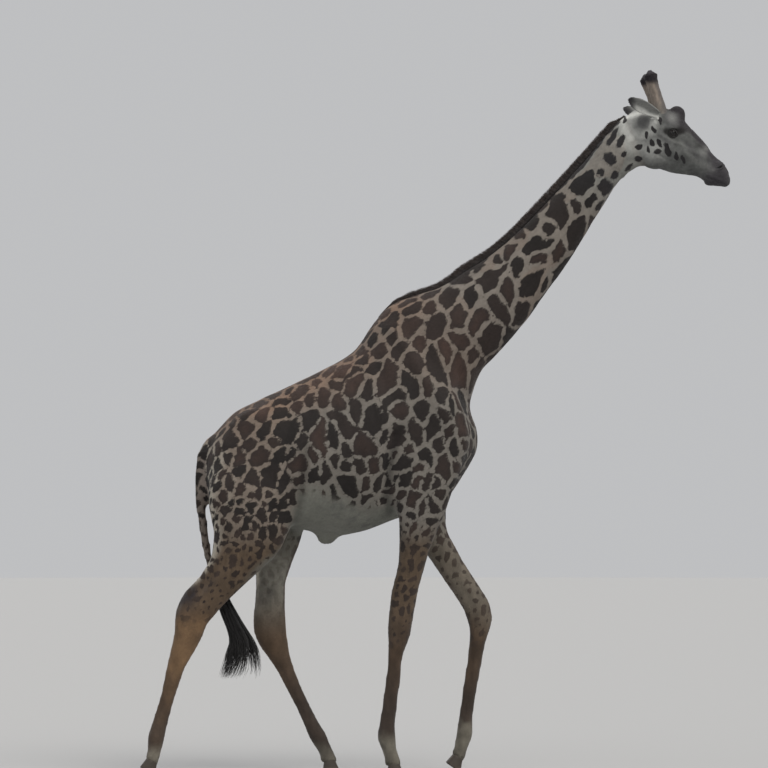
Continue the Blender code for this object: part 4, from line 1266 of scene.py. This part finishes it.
def lieOf(places, normals):
    # which way the hair lies: down nose, neck and legs, back along the trunk, out along the ears
    along = neckShare(places)
    onHead = ramp(0.97, 1.03, along) * ramp(1.14, 1.24, places[:, 0])
    neck = (ramp(-0.05, 0.20, along) * (1 - onHead))[:, None]
    leg = ramp(1.85, 1.50, places[:, 2])[:, None]
    lie = np.tile(np.array([-0.85, 0.0, -0.50]), (len(places), 1))
    lie = lie * (1 - neck) + neck * (-neckAxis + np.array([-0.1, 0, -0.1]))
    lie = lie * (1 - leg) + leg * np.array([-0.12, 0.0, -1.0])
    lie = lie * (1 - onHead[:, None]) + onHead[:, None] * (headAxis * 0.75 + np.array([0, 0, -0.45]))
    ears = isEar(places) & (onHead > 0.3)
    ones = np.ones(len(places))
    sweep = np.column_stack([-ones, 0.55 * np.sign(places[:, 1]), 0.15 * ones])
    lie = flattened(np.where(ears[:, None], sweep, lie), normals)
    turn = 0.35 * latticeNoise(places, 0.11, 31) + 0.22 * latticeNoise(places, 0.03, 32)
    turn = turn + 0.16 * chance.standard_normal(len(places))
    across = np.cross(normals, lie)
    return lie * np.cos(turn)[:, None] + across * np.sin(turn)[:, None]


def scatterRoots(places, outwards, triangles, wanted, weight):
    # roots spread by area times weight over the chosen triangles, at random places inside each
    first, second, third = (places[triangles[:, corner]] for corner in range(3))
    heap = np.cumsum(np.linalg.norm(np.cross(second - first, third - first), axis=1) * weight)
    picks = np.searchsorted(heap, (np.arange(wanted) + chance.random(wanted)) / wanted * heap[-1])
    picks = np.minimum(picks, len(triangles) - 1)
    a, b = chance.random(wanted), chance.random(wanted)
    flip = a + b > 1
    a, b = np.where(flip, 1 - a, a), np.where(flip, 1 - b, b)
    share = np.column_stack([1 - a - b, a, b])
    chosen = triangles[picks]
    roots = (places[chosen] * share[:, :, None]).sum(axis=1)
    normals = unit((outwards[chosen] * share[:, :, None]).sum(axis=1))
    return roots, normals


def roundShare(sideways, upwards):
    # the turn round a middle line, 0 to 1
    return np.arctan2(sideways, upwards) / (2 * math.pi) + 0.5


def chartOf(name, places):
    # the coat's unwrap: along the part one way, round it the other, each part in its own strip
    x, y, z = places.T
    if name.startswith("coat_trunk"):
        turn = np.arctan2(np.abs(y), z - 2.25) / math.pi
        return np.column_stack([(x + 1.6) / 1.95, turn])
    if name == "coat_neck":
        return np.column_stack([(neckShare(places) + 0.25) / 1.4, roundShare(y, overNeck(places))])
    if name == "coat_head":
        away = places - poll
        chart = np.column_stack([(away @ headAxis + 0.1) / 1.1, roundShare(y, away @ headUp + 0.10)])
        ear = np.column_stack([0.80 + 0.09 * (y > 0) + (np.abs(y) - 0.10) * 0.4, (x - 1.2) / 0.35])
        return np.where(isEar(places)[:, None], ear, chart)
    if name == "coat_tail":
        return np.column_stack([(z - 1.0) / 1.4, roundShare(y, x + 1.5)])
    chart = np.zeros((len(places), 2))
    nearest = nearestLeg(places)
    for number, leg in enumerate(legNames):
        middleX, middleY, _ = legAt(leg, z)
        strip = (roundShare(y - middleY, x - middleX) + number % 2) * 0.5
        chart = np.where((nearest == number)[:, None], np.column_stack([strip, z / 1.7]), chart)
    return chart


def plantTufts(name, roots, normals, lies, sizes, fields, chart, slot="hide"):
    # wedge: two root corners side by side, a ridge standing over them, and a tip at the lie's end
    count = len(roots)
    length, width, height = sizes
    across = np.cross(normals, lies)
    reach = (length * (1 + 0.35 * (chance.random(count) * 2 - 1)))[:, None]
    half = (width * 0.5 * (0.8 + 0.4 * chance.random(count)))[:, None]
    tall = (height * (0.7 + 0.6 * chance.random(count)))[:, None]
    lift = 0.20 + 0.75 * chance.random((count, 1)) ** 3  # the tip's height, as a share of the ridge's
    base = roots - normals * 0.0012
    corners = np.stack([
        base - across * half,
        base + across * half,
        roots + lies * reach * 0.42 + normals * tall,
        roots + lies * reach + normals * tall * lift,
    ], axis=1)
    faces = np.array([[0, 2, 1], [0, 3, 2], [1, 2, 3], [0, 1, 3]])
    index = (np.arange(count)[:, None, None] * 4 + faces[None]).reshape(-1, 3)
    piece = pieceFrom(name, corners.reshape(-1, 3), index)
    lean = np.stack([-across * 0.45, across * 0.45, lies * 0.0, lies * 0.25], axis=1)
    shading = unit(normals[:, None, :] + lean).reshape(-1, 3)
    piece.data.normals_split_custom_set_from_vertices(shading.astype(np.float32))
    patch = np.array([[-1, -1], [1, -1], [0, 0.3], [0, 1]]) * 0.0015  # each tuft's small place in it
    chart = np.clip((chart * 0.98 + 0.01)[:, None, :] + patch[None], 0, 1).reshape(-1, 2)
    unwrap = piece.data.uv_layers.new(name="OFBake")
    unwrap.data.foreach_set("uv", chart[readCorners(piece.data)].astype(np.float32).ravel())
    fields = {key: np.repeat(value, 4, axis=0) for key, value in fields.items()}
    shade = np.repeat(0.84 + 0.32 * chance.random(count), 4) * np.tile([0.94, 0.94, 1.0, 1.10], count)
    markMesh(piece.data, np.repeat(roots, 4, axis=0), fields, shade)
    wear(piece, tuftMaterial)
    ownBy(piece, slot)


def growCoat():
    # every triangle of the skin goes to one part's coat; none grows on the eyes or in the nostrils
    triangles = readTriangles(skinMesh)
    middle = skinPlaces[triangles].mean(axis=1)
    x, y, z = middle.T
    onHead = (pastHeadEdge(middle) > 0) | isEar(middle)
    onTail = isTail(middle) & (x < tailStart)
    onNeck = (neckShare(middle) > 0.06) & ~onHead
    onLeg = (z < legSplit) & ((np.abs(y) > 0.09) | (z < 1.5)) & ~onTail & ~onHead
    onTrunk = ~(onHead | onTail | onNeck | onLeg)
    toEye = nearestOf(middle, eyeCentres.values())
    toNostril = nearestOf(middle, nostrils)
    parts = {
        "coat_trunk_right": onTrunk & (y < 0),
        "coat_trunk_left": onTrunk & (y >= 0),
        "coat_neck": onNeck,
        "coat_head": onHead & (toEye > eyeRadius * 1.22) & (toNostril > 0.016),
        "coat_fore_legs": onLeg & (nearestLeg(middle) < 2),
        "coat_hind_legs": onLeg & (nearestLeg(middle) >= 2),
        "coat_tail": onTail,
    }
    for name, chosen in parts.items():
        wanted, *sizes = coatLook[name]
        spots = middle[chosen]
        weight = np.ones(len(spots))
        if name == "coat_head":
            weight += 1.5 * bell(toEye[chosen], 0.07) + 1.2 * ramp(1.6, 1.9, spots[:, 0])
        if name.endswith("legs"):
            weight += 1.6 * ramp(0.9, 0.2, spots[:, 2]) + 14 * bell(overHoof(spots)[0] - 0.004, 0.012)
        roots, normals = scatterRoots(skinPlaces, skinNormals, triangles[chosen], wanted, weight)
        size = np.ones(wanted)
        if name == "coat_head":
            size = 1.15 - 0.45 * ramp(1.55, 1.85, roots[:, 0])
            size = size - 0.35 * bell(nearestOf(roots, eyeCentres.values()), 0.05)
            size = np.where(isEar(roots), 1.25, size)
        if name.endswith("legs"):
            size = 0.55 + 0.45 * ramp(0.35, 1.3, roots[:, 2]) + 0.80 * bell(overHoof(roots)[0], 0.016)
        lies = lieOf(roots, normals)
        plantTufts(name, roots, normals, lies, [full * size for full in sizes], markings(roots, normals),
                   chartOf(name, roots))
    report("coat")


growCoat()


# Locks: long hair is a three-sided tapering strand carried along its own path, closed at both ends.


def strandMesh(name, paths, thickness, taper):
    # paths: strands x steps x 3. Each ring is a triangle square to the path, its size falling by the taper
    count, steps = paths.shape[:2]
    run = unit(np.gradient(paths, axis=1))
    up = unit(np.cross(run, np.broadcast_to(unit(chance.standard_normal((count, 1, 3))), run.shape)))
    side = np.cross(run, up)
    size = (thickness * taper)[None, :, None]
    rings = [paths + (up * math.cos(angle) + side * math.sin(angle)) * size
             for angle in (0, 2 * math.pi / 3, 4 * math.pi / 3)]
    places = np.stack(rings, axis=2).reshape(-1, 3)
    strand = np.arange(count)[:, None, None] * steps * 3
    step = np.arange(steps - 1)[None, :, None] * 3
    corner = np.arange(3)[None, None, :]
    nextCorner = (corner + 1) % 3
    here, beyond = strand + step, strand + step + 3
    walls = np.stack([here + corner, here + nextCorner, beyond + nextCorner, beyond + corner], axis=-1)
    first = np.arange(count)[:, None] * steps * 3
    caps = np.vstack([first + np.array([[2, 1, 0]]), first + (steps - 1) * 3 + np.array([[0, 1, 2]])])
    piece = pieceFrom(name, places, [walls.reshape(-1, 4), caps])
    setNumbers(piece.data, "along", "FLOAT", np.tile(np.repeat(np.linspace(0, 1, steps), 3), count))
    setNumbers(piece.data, "shade", "FLOAT", np.repeat(chance.random(count), steps * 3))
    return piece


def makeHairMaterial(name, root, tip, gloss=0.45):
    # hair darkens or lightens from root to tip, and each strand has its own shade
    material, tree, shader = newMaterial(name, Roughness=gloss, Specular_IOR_Level=0.35, Sheen_Weight=0.1)
    along, shade = (attributeOf(tree, field)["Fac"] for field in ("along", "shade"))
    colour = blended(tree, along, opaque(root), opaque(tip))
    tone = sums(tree, "MULTIPLY_ADD", shade, 0.7, 0.65)
    plug(tree, shader.inputs["Base Color"], scaled(tree, colour, tone))
    return material


maneLook = {
    "locks": 7400,
    "thickness": 0.0017,
    "lean": 0.16,  # how far a lock bends down the neck, as a share of its length
    "sink": 0.012,  # how deep its root sits, in metres
    "root": (30, 26, 26), "tip": (58, 45, 40),
}


def growMane():
    # roots along the neck's crest; each lock stands square to the crest, leaning a little down the neck
    look = maneLook
    cloud = edgeCloud(*nodeShape("mane"))
    along, rise = alongNeck(cloud), overNeck(cloud)
    stations = np.linspace(along.min() + 0.01, along.max() - 0.006, 70)
    band = [np.abs(along - station) < 0.022 for station in stations]
    topLine = np.array([rise[near].max() for near in band])
    footLine = np.array([rise[near].min() for near in band])
    count = look["locks"]
    first, last = stations[0], stations[-1]
    where = first + (last - first) * (np.arange(count) + chance.random(count)) / count
    low, high = np.interp(where, stations, footLine), np.interp(where, stations, topLine)
    across = 0.011 * chance.standard_normal(count).clip(-1.2, 1.2)
    share = np.linspace(0, 1, 5)[None, :]
    clump = latticeNoise(np.column_stack([where, where * 0, across]), 0.022, 61)
    span = (high - low) * (0.76 + 0.20 * chance.random(count) + 0.05 * clump) + look["sink"]
    span = span * (0.12 + 0.88 * ramp(0, 0.30, where - first)) * (0.45 + 0.55 * ramp(0, 0.10, last - where))
    lean = look["lean"] * (0.2 + 1.6 * chance.random(count) + 0.8 * clump) * np.clip(span, 0, 0.12)
    ahead = where[:, None] - lean[:, None] * share ** 1.5
    up = (low - look["sink"])[:, None] + span[:, None] * share
    sway = across[:, None] * (1 - 0.35 * share) + 0.004 * chance.standard_normal((count, 1)) * share
    paths = neckFoot + neckAxis * ahead[..., None] + neckUp * up[..., None]
    paths = paths + np.array([0, 1.0, 0]) * sway[..., None]
    piece = strandMesh("mane_hair", paths, look["thickness"], np.array([1.0, 1.0, 0.85, 0.6, 0.12]))
    wear(piece, makeHairMaterial("mane hair", look["root"], look["tip"]))
    ownBy(piece, "hair", "mane")
    report("mane")


tasselLook = {
    "strands": 620, "thickness": 0.0024, "steps": 11,
    "clumps": 9, "draw": 0.40,  # locks that the strands draw into, and how strongly
    "root": (13, 12, 13), "tip": (24, 21, 20),
}


def growTassel():
    # strands start round the tail's end and follow the tassel's middle line, spreading and curling
    look = tasselLook
    places, faces = nodeShape("tail_tassel")
    cloud = edgeCloud(places, faces)
    foot, top = places[:, 2].min(), places[:, 2].max()
    knots = np.linspace(0, 1, 24)
    bands = [cloud[np.abs(cloud[:, 2] - height) < 0.03] for height in np.linspace(top, foot, len(knots))]
    lows = np.array([band.min(axis=0) for band in bands])
    highs = np.array([band.max(axis=0) for band in bands])
    middle, half = (lows + highs) / 2, (highs - lows) / 2
    count, steps = look["strands"], look["steps"]
    start = 0.25 * chance.random(count) ** 1.4
    end = 1.0 - 0.42 * chance.random(count) ** 1.6
    share = start[:, None] + (end - start)[:, None] * np.linspace(0, 1, steps)[None, :]
    angle = chance.random(count) * 2 * math.pi
    radius = np.sqrt(chance.random(count))
    wide = np.interp(share, knots, half[:, 0])
    curl = 0.35 * np.sin(share * 9 + angle[:, None] * 3) * share ** 2
    # towards the tips the strands draw together in locks
    lock = (np.floor(angle / (2 * math.pi) * look["clumps"]) + 0.5) / look["clumps"] * 2 * math.pi
    draw = look["draw"] * share ** 1.8 * (0.4 + 0.9 * chance.random((count, 1)))
    turn, own, drawn = angle[:, None] + curl, (1 - draw) * radius[:, None], draw * 0.75
    lock = lock[:, None]
    x = np.interp(share, knots, middle[:, 0]) + wide * (own * np.cos(turn) + drawn * np.cos(lock))
    y = np.interp(share, knots, middle[:, 1]) + wide * 0.85 * (own * np.sin(turn) + drawn * np.sin(lock))
    # the tips swing back or ahead, and those behind end higher
    swing = -0.090 + 0.19 * ramp(0.25, 0.95, np.cos(0.5 * angle + 0.5 * lock[:, 0]))
    swing = swing * (0.35 + 0.65 * chance.random(count))
    x = x + swing[:, None] * share ** 2.6
    lift = 0.10 * np.where(np.cos(angle) > 0.55, 1, 0.15)[:, None]
    height = top + (foot - top) * share + lift * share ** 3 * chance.random((count, 1))
    paths = np.stack([x, y, height], axis=-1)
    taper = np.linspace(1, 0, steps) ** 0.5 * 0.9 + 0.08
    piece = strandMesh("tassel_hair", paths, look["thickness"], taper)
    wear(piece, makeHairMaterial("tassel hair", look["root"], look["tip"], 0.4))
    ownBy(piece, "hair", "tail_tassel")
    report("tassel")


lashLook = {"count": 34, "length": 0.020, "thickness": 0.00075, "root": (22, 19, 18), "tip": (30, 26, 24)}


def growLashes():
    # lashes stand along the upper lid's edge and bow down and out
    look = lashLook
    count = look["count"]
    for side in ("left", "right"):
        out, along, up = lookOf(side)
        a = np.linspace(-0.82, 0.86, count) + 0.02 * chance.standard_normal(count)
        b = lids["openHigh"] * (1 - np.abs(a / lids["openWide"]).clip(0, 1) ** 2.2) + 0.03
        c = np.sqrt(np.clip(1 - a * a - b * b, 0.02, 1))
        ray = unit(along * a[:, None] + up * b[:, None] + out * c[:, None])
        roots = eyeCentres[side] + ray * eyeRadius * lids["edge"]
        share = np.linspace(0, 1, 5)[None, :, None]
        length = look["length"] * (0.7 + 0.5 * chance.random(count))[:, None, None]
        fan = along * (a * 0.5)[:, None] + out * 0.75 - np.array([0, 0, 0.55])
        paths = roots[:, None, :] + unit(fan)[:, None, :] * length * share
        paths = paths + np.array([0, 0, 1.0]) * length * 0.45 * share ** 2.2
        taper = np.array([1.0, 0.9, 0.7, 0.45, 0.15])
        piece = strandMesh("lashes_" + side, paths, look["thickness"], taper)
        wear(piece, makeHairMaterial("lash hair " + side, look["root"], look["tip"]))
        ownBy(piece, "hair")


growMane()
growTassel()
growLashes()


# Eyes: a ball with a low bulge in front; pupil, iris and white are drawn by the angle from its gaze.

eyeLook = {
    "bulge": 0.05, "bulgeReach": 0.75,
    "pupil": 0.30, "iris": 0.72,  # in radians from the way the eye looks
    "irisDark": (13, 9, 7), "irisLight": (27, 18, 12), "white": (34, 27, 24),
}


def makeEyeMaterial():
    # the pupil is an oval, wider than tall; iris and white are rings round it
    material, tree, shader = newMaterial("eye", Roughness=0.22, Specular_IOR_Level=0.3, Coat_Weight=0.35,
                                         Coat_Roughness=0.04, IOR=1.38)
    gaze = attributeOf(tree, "gaze")["Vector"]
    wide, tall, _ = axesOf(tree, gaze)

    def oval(wideness, tallness):
        squares = [sums(tree, "POWER", sums(tree, "MULTIPLY", value, share), 2.0)
                   for value, share in ((wide, wideness), (tall, tallness))]
        return sums(tree, "SQRT", sums(tree, "ADD", *squares))

    look = eyeLook
    iris = blended(tree, grains(tree, scaled(tree, gaze, 9.0), 3.0, 3.0),
                   opaque(look["irisDark"]), opaque(look["irisLight"]))
    colour = blended(tree, stepped(tree, oval(1.0, 1.0), look["iris"] - 0.05, look["iris"] + 0.05),
                     iris, opaque(look["white"]))
    colour = blended(tree, stepped(tree, oval(0.62, 1.25), look["pupil"] - 0.04, look["pupil"] + 0.04),
                     (0.004, 0.004, 0.005, 1), colour)
    plug(tree, shader.inputs["Base Color"], colour)
    return material


def makeEyes():
    # a ball of rings about the way the eye looks; each corner keeps its angle from there, for the material
    material = makeEyeMaterial()
    rings, spokes = 40, 56
    polar = np.linspace(0, math.pi, rings + 1)[1:-1][:, None]
    turn = np.linspace(0, 2 * math.pi, spokes, endpoint=False)[None, :]
    reach = eyeRadius * (0.985 + eyeLook["bulge"] * bell(polar, eyeLook["bulgeReach"])) + 0 * turn
    a, b, c = np.sin(polar) * np.cos(turn), np.sin(polar) * np.sin(turn), np.cos(polar) + 0 * turn
    ring, spoke = np.arange(rings - 2)[:, None] * spokes, np.arange(spokes)
    following = (spoke + 1) % spokes
    beyond = ring + spokes
    quads = np.stack([ring + spoke, beyond + spoke, beyond + following, ring + following], axis=-1)
    front, last = (rings - 1) * spokes, (rings - 2) * spokes
    theta = np.concatenate([np.repeat(polar.ravel(), spokes), [0.0, math.pi]])
    swing = np.concatenate([np.tile(turn.ravel(), rings - 1), [0.0, 0.0]])
    gaze = np.column_stack([theta * np.cos(swing), theta * np.sin(swing), np.zeros(len(theta))])
    for side in ("left", "right"):
        out, along, up = lookOf(side)
        ball = along * a[..., None] + up * b[..., None] + out * c[..., None]
        ball = eyeCentres[side] + ball * reach[..., None]
        poles = eyeCentres[side] + np.array([out * reach[0, 0], -out * eyeRadius * 0.985])
        walls = quads.reshape(-1, 4)
        caps = np.vstack([np.column_stack([np.full(spokes, front), spoke, following]),
                          np.column_stack([np.full(spokes, front + 1), last + following, last + spoke])])
        if np.cross(along, up) @ out < 0:
            walls, caps = walls[:, ::-1], caps[:, ::-1]
        piece = pieceFrom("eyeball_" + side, np.vstack([ball.reshape(-1, 3), poles]), [walls, caps])
        setNumbers(piece.data, "gaze", "FLOAT_VECTOR", gaze)
        wear(piece, material)
        ownBy(piece, "eye", "eye_" + side)


makeEyes()
report("eyes")


# Horns and hooves: the frame's solids, netted finely, eased, then given their own growth and wear.

hornLook = {
    "grain": 0.0040, "easing": 9,  # spacing of the net, and how often it is eased
    "knobFrom": 0.76,  # share of the height where the bare knob begins
    "rough": 0.0016,
    "sink": 0.075, "flare": 0.22,  # how far the foot goes into the skull, and its widening
    "tufts": 6500, "tuftSizes": (0.0095, 0.0022, 0.0011),  # how many; length, width and height
    "shaft": (138, 127, 117),
    "foot": (112, 110, 106),
    "front": (88, 84, 83),
    "knob": (42, 38, 42),
    "crown": (76, 71, 78),
}
hoofLook = {
    "grain": 0.0038, "easing": 9,
    "rings": 0.0085, "ringDepth": 0.0003,  # spacing and depth of the growth rings
    "dark": (36, 32, 30), "light": (54, 48, 44), "dust": (122, 108, 90),
}


def nettedNode(name, grain, rounds, hold=None):
    # the node's solid as an even net, eased; places that hold() picks keep their own height
    places, faces = nodeShape(name)
    net = netOf(places, faces, grain)
    mesh = bpy.data.meshes.new(name)
    net.to_mesh(mesh)
    net.free()
    was = readPlaces(mesh)
    now = eased(was, readEdges(mesh), np.full(len(was), 0.5), rounds)
    if hold is not None:
        held = hold(was)
        now[held, 2] = was[held, 2]
    writePlaces(mesh, now)
    smoothed(mesh)
    return mesh


def hornLine(places):
    # heights up a horn and the x of its middle there
    heights = np.linspace(places[:, 2].min(), places[:, 2].max(), 14)
    near = [np.abs(places[:, 2] - height) < 0.02 for height in heights]
    return heights, np.array([(places[band, 0].min() + places[band, 0].max()) / 2 for band in near])


def hornFields(places, along):
    # tan-grey hair on the shaft, darker low down and in front, black on the knob, worn grey on its crown
    look = hornLook
    x, _, z = places.T
    noise = latticeNoise(places, 0.022, 44)
    ragged = along + 0.022 * noise
    height = (z - z.min()) / np.ptp(z) + 0.02 * noise
    ahead = x - np.interp(z, *hornLine(places))
    streak = latticeNoise(places * np.array([1, 1, 0.2]), 0.006, 45)
    ground = np.tile(linear(look["shaft"]), (len(places), 1)) * (1 + 0.22 * streak)[:, None]
    for name, share in (("foot", 0.9 * ramp(0.30, 0.04, ragged)),
                        ("front", 0.75 * ramp(0.004, 0.024, ahead)),
                        ("knob", ramp(look["knobFrom"] - 0.05, look["knobFrom"] + 0.04, height)),
                        ("crown", 0.6 * ramp(0.93, 1.02, ragged))):
        ground = ground + (linear(look[name]) - ground) * share[:, None]
    none = np.zeros(len(places))
    return {"ground": ground, "show": none, "patch": ground, "edge": none, "line": none + 1,
            "fray": none, "spot": none + 3}


def makeHorns():
    # a furrowed shaft with a rough knob; its foot widens and runs down into the skull
    look = hornLook
    for side in ("left", "right"):
        mesh = nettedNode("ossicone_" + side, look["grain"], look["easing"])
        places, normals = readPlaces(mesh), readNormals(mesh)
        heights = places[:, 2]
        foot = places[heights < heights.min() + 0.03].mean(axis=0)
        crown = places[heights > heights.max() - 0.02].mean(axis=0)
        length, axis = np.linalg.norm(crown - foot), unit(crown - foot)
        along = ((places - foot) @ axis) / length
        knob = ramp(look["knobFrom"] - 0.04, look["knobFrom"] + 0.06, along)
        rough = latticeNoise(places, 0.014, 41) * knob * 1.5 + latticeNoise(places, 0.030, 42) * 0.6
        furrow = latticeNoise(places * np.array([1, 1, 0.12]), 0.009, 43) * (1 - knob) * 0.45
        outward = places - foot - ((places - foot) @ axis)[:, None] * axis
        places = places + normals * ((rough + furrow) * look["rough"] - 0.0018)[:, None]
        places = places + outward * look["flare"] * ramp(0.14, 0.0, along)[:, None]
        places = places - axis * (look["sink"] * ramp(0.32, 0.06, along))[:, None]
        writePlaces(mesh, places)
        piece = standing("horn_" + side, mesh)
        markMesh(mesh, places, hornFields(places, along), np.ones(len(places)))
        wear(piece, skinMaterial)
        ownBy(piece, "horn", "ossicone_" + side)

        triangles = readTriangles(mesh)
        weight = 0.15 + ramp(-0.02, 0.06, along[triangles].mean(axis=1))
        roots, normals = scatterRoots(places, readNormals(mesh), triangles, look["tufts"], weight)
        rise = ((roots - foot) @ axis) / length
        lies = unit(axis + normals * 0.05 + 0.22 * chance.standard_normal((len(roots), 3)))
        x, y, _ = (roots - foot).T
        size = 0.9 + 0.5 * bell(rise - 0.82, 0.07)
        chart = np.column_stack([roundShare(y, x), rise.clip(0, 1)])
        plantTufts("coat_horn_" + side, roots, normals, flattened(lies, normals),
                   [full * size for full in look["tuftSizes"]], hornFields(roots, rise), chart, "horn")
    report("horns")


def makeHoofMaterial():
    # dark horn in growth rings, dusty and scratched towards the ground
    material, tree, shader = newMaterial("hoof horn", Specular_IOR_Level=0.4)
    place = addNode(tree, "ShaderNodeTexCoord").outputs["Object"]
    rings = grains(tree, stretched(tree, place, (0.12, 0.12, 1.0)), 240.0)
    dust = grains(tree, place, 34.0, 4.0, 0.65)
    low = stepped(tree, axesOf(tree, place)[2], 0.045, 0.0)
    dusty = sums(tree, "MULTIPLY", sums(tree, "ADD", low, 0.25), dust, clamp=True)
    horn = blended(tree, rings, opaque(hoofLook["dark"]), opaque(hoofLook["light"]))
    plug(tree, shader.inputs["Base Color"], blended(tree, dusty, horn, opaque(hoofLook["dust"])))
    plug(tree, shader.inputs["Roughness"], sums(tree, "MULTIPLY_ADD", dust, 0.4, 0.38))
    bump(tree, shader, rings, 0.5, 0.001)
    return material


def makeHooves():
    # each claw narrows upwards into the coronet, more behind than ahead, and is ringed round its wall
    material = makeHoofMaterial()
    for name in [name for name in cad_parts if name.startswith("hoof")]:
        mesh = nettedNode(name, hoofLook["grain"], hoofLook["easing"], lambda was: was[:, 2] < 0.003)
        places, normals = readPlaces(mesh), readNormals(mesh)
        top, up = footTop[name[5:].rsplit("_", 1)[0]]
        ahead = np.array([up[2], 0.0, -up[0]])
        height = (places - top) @ up
        share = ramp(-0.11, 0.0, height)[:, None]
        run = ((places - top) @ ahead)[:, None]
        inwards = np.where(run > 0, run * 0.15 + 0.008 * ramp(0, 0.03, run), run * 0.27)
        places = places - ahead * inwards * share
        places = places - up * 0.012 * ramp(-0.015, -0.070, run) * ramp(-0.035, 0.0, height)[:, None]
        places[:, 1] -= (places[:, 1] - top[1]) * 0.06 * share[:, 0]
        ring = np.sin(places[:, 2] * 2 * math.pi / hoofLook["rings"] + 1.5 * latticeNoise(places, 0.03, 51))
        wall = ramp(0.9, 0.5, np.abs(normals[:, 2])) * ramp(0.004, 0.012, places[:, 2])
        places = places + normals * (ring * hoofLook["ringDepth"] * wall)[:, None]
        writePlaces(mesh, places)
        piece = standing(name.replace("hoof", "claw"), mesh)
        wear(piece, material)
        ownBy(piece, "hoof", name)
    report("hooves")


makeHorns()
makeHooves()


# Studio: pale floor, soft lights, and a level camera far off to the animal's right side.

studio = {
    "distance": 25.0, "eyeHeight": 1.65, "frameWidth": 5.07, "aimX": -0.348, "aimZ": 2.567,
    "sensor": 36.0, "floorRadius": 90.0, "floorShade": 0.44, "skyShade": 0.72, "skyStrength": 0.72,
    "suns": {  # where each light comes from, its strength, how wide and soft it is, its colour
        "key": ((0.55, -0.75, 1.05), 1.9, 45.0, (1.0, 0.97, 0.92)),
        "fill": ((-0.9, -0.8, 0.5), 0.35, 60.0, (0.94, 0.97, 1.0)),
        "rim": ((-0.5, 0.9, 0.9), 0.7, 40.0, (1.0, 0.98, 0.95)),
    },
}


def makeStudio():
    # the floor, the sky's even light, three wide suns, and the camera
    floor = bpy.data.meshes.new("floor")
    angles = np.linspace(0, 2 * math.pi, 97)[:-1]
    rim = np.column_stack([np.cos(angles), np.sin(angles), 0 * angles]) * studio["floorRadius"]
    floor.from_pydata((rim + np.array([0, 0, cadLow[2]])).tolist(), [], [list(range(len(rim)))])
    ground = standing("studio_floor", floor)
    shade = studio["floorShade"]
    wear(ground, newMaterial("pale floor", Base_Color=(shade, shade, shade, 1), Roughness=0.9)[0])

    scene.world = bpy.data.worlds.new("soft sky")
    scene.world.use_nodes = True
    sky = scene.world.node_tree.nodes["Background"]
    shade = studio["skyShade"]
    sky.inputs["Color"].default_value = (shade, shade * 1.01, shade * 1.03, 1)
    sky.inputs["Strength"].default_value = studio["skyStrength"]
    for name, (place, power, spread, colour) in studio["suns"].items():
        lamp = bpy.data.lights.new(name, "SUN")
        lamp.angle = math.radians(spread)
        lamp.energy = power
        lamp.color = colour
        standing(name, lamp).rotation_euler = Vector(place).to_track_quat("Z", "Y").to_euler()

    camera = bpy.data.cameras.new("camera")
    camera.lens = studio["sensor"] * studio["distance"] / studio["frameWidth"]
    camera.sensor_width = studio["sensor"]
    camera.clip_end = 200.0
    eye = standing("camera", camera)
    eye.location = (studio["aimX"], -studio["distance"], studio["eyeHeight"])
    aim = Vector((studio["aimX"], 0.0, studio["aimZ"])) - eye.location
    eye.rotation_euler = aim.to_track_quat("-Z", "Y").to_euler()
    scene.camera = eye
    scene.view_settings.view_transform = "Standard"


makeStudio()
report("studio")
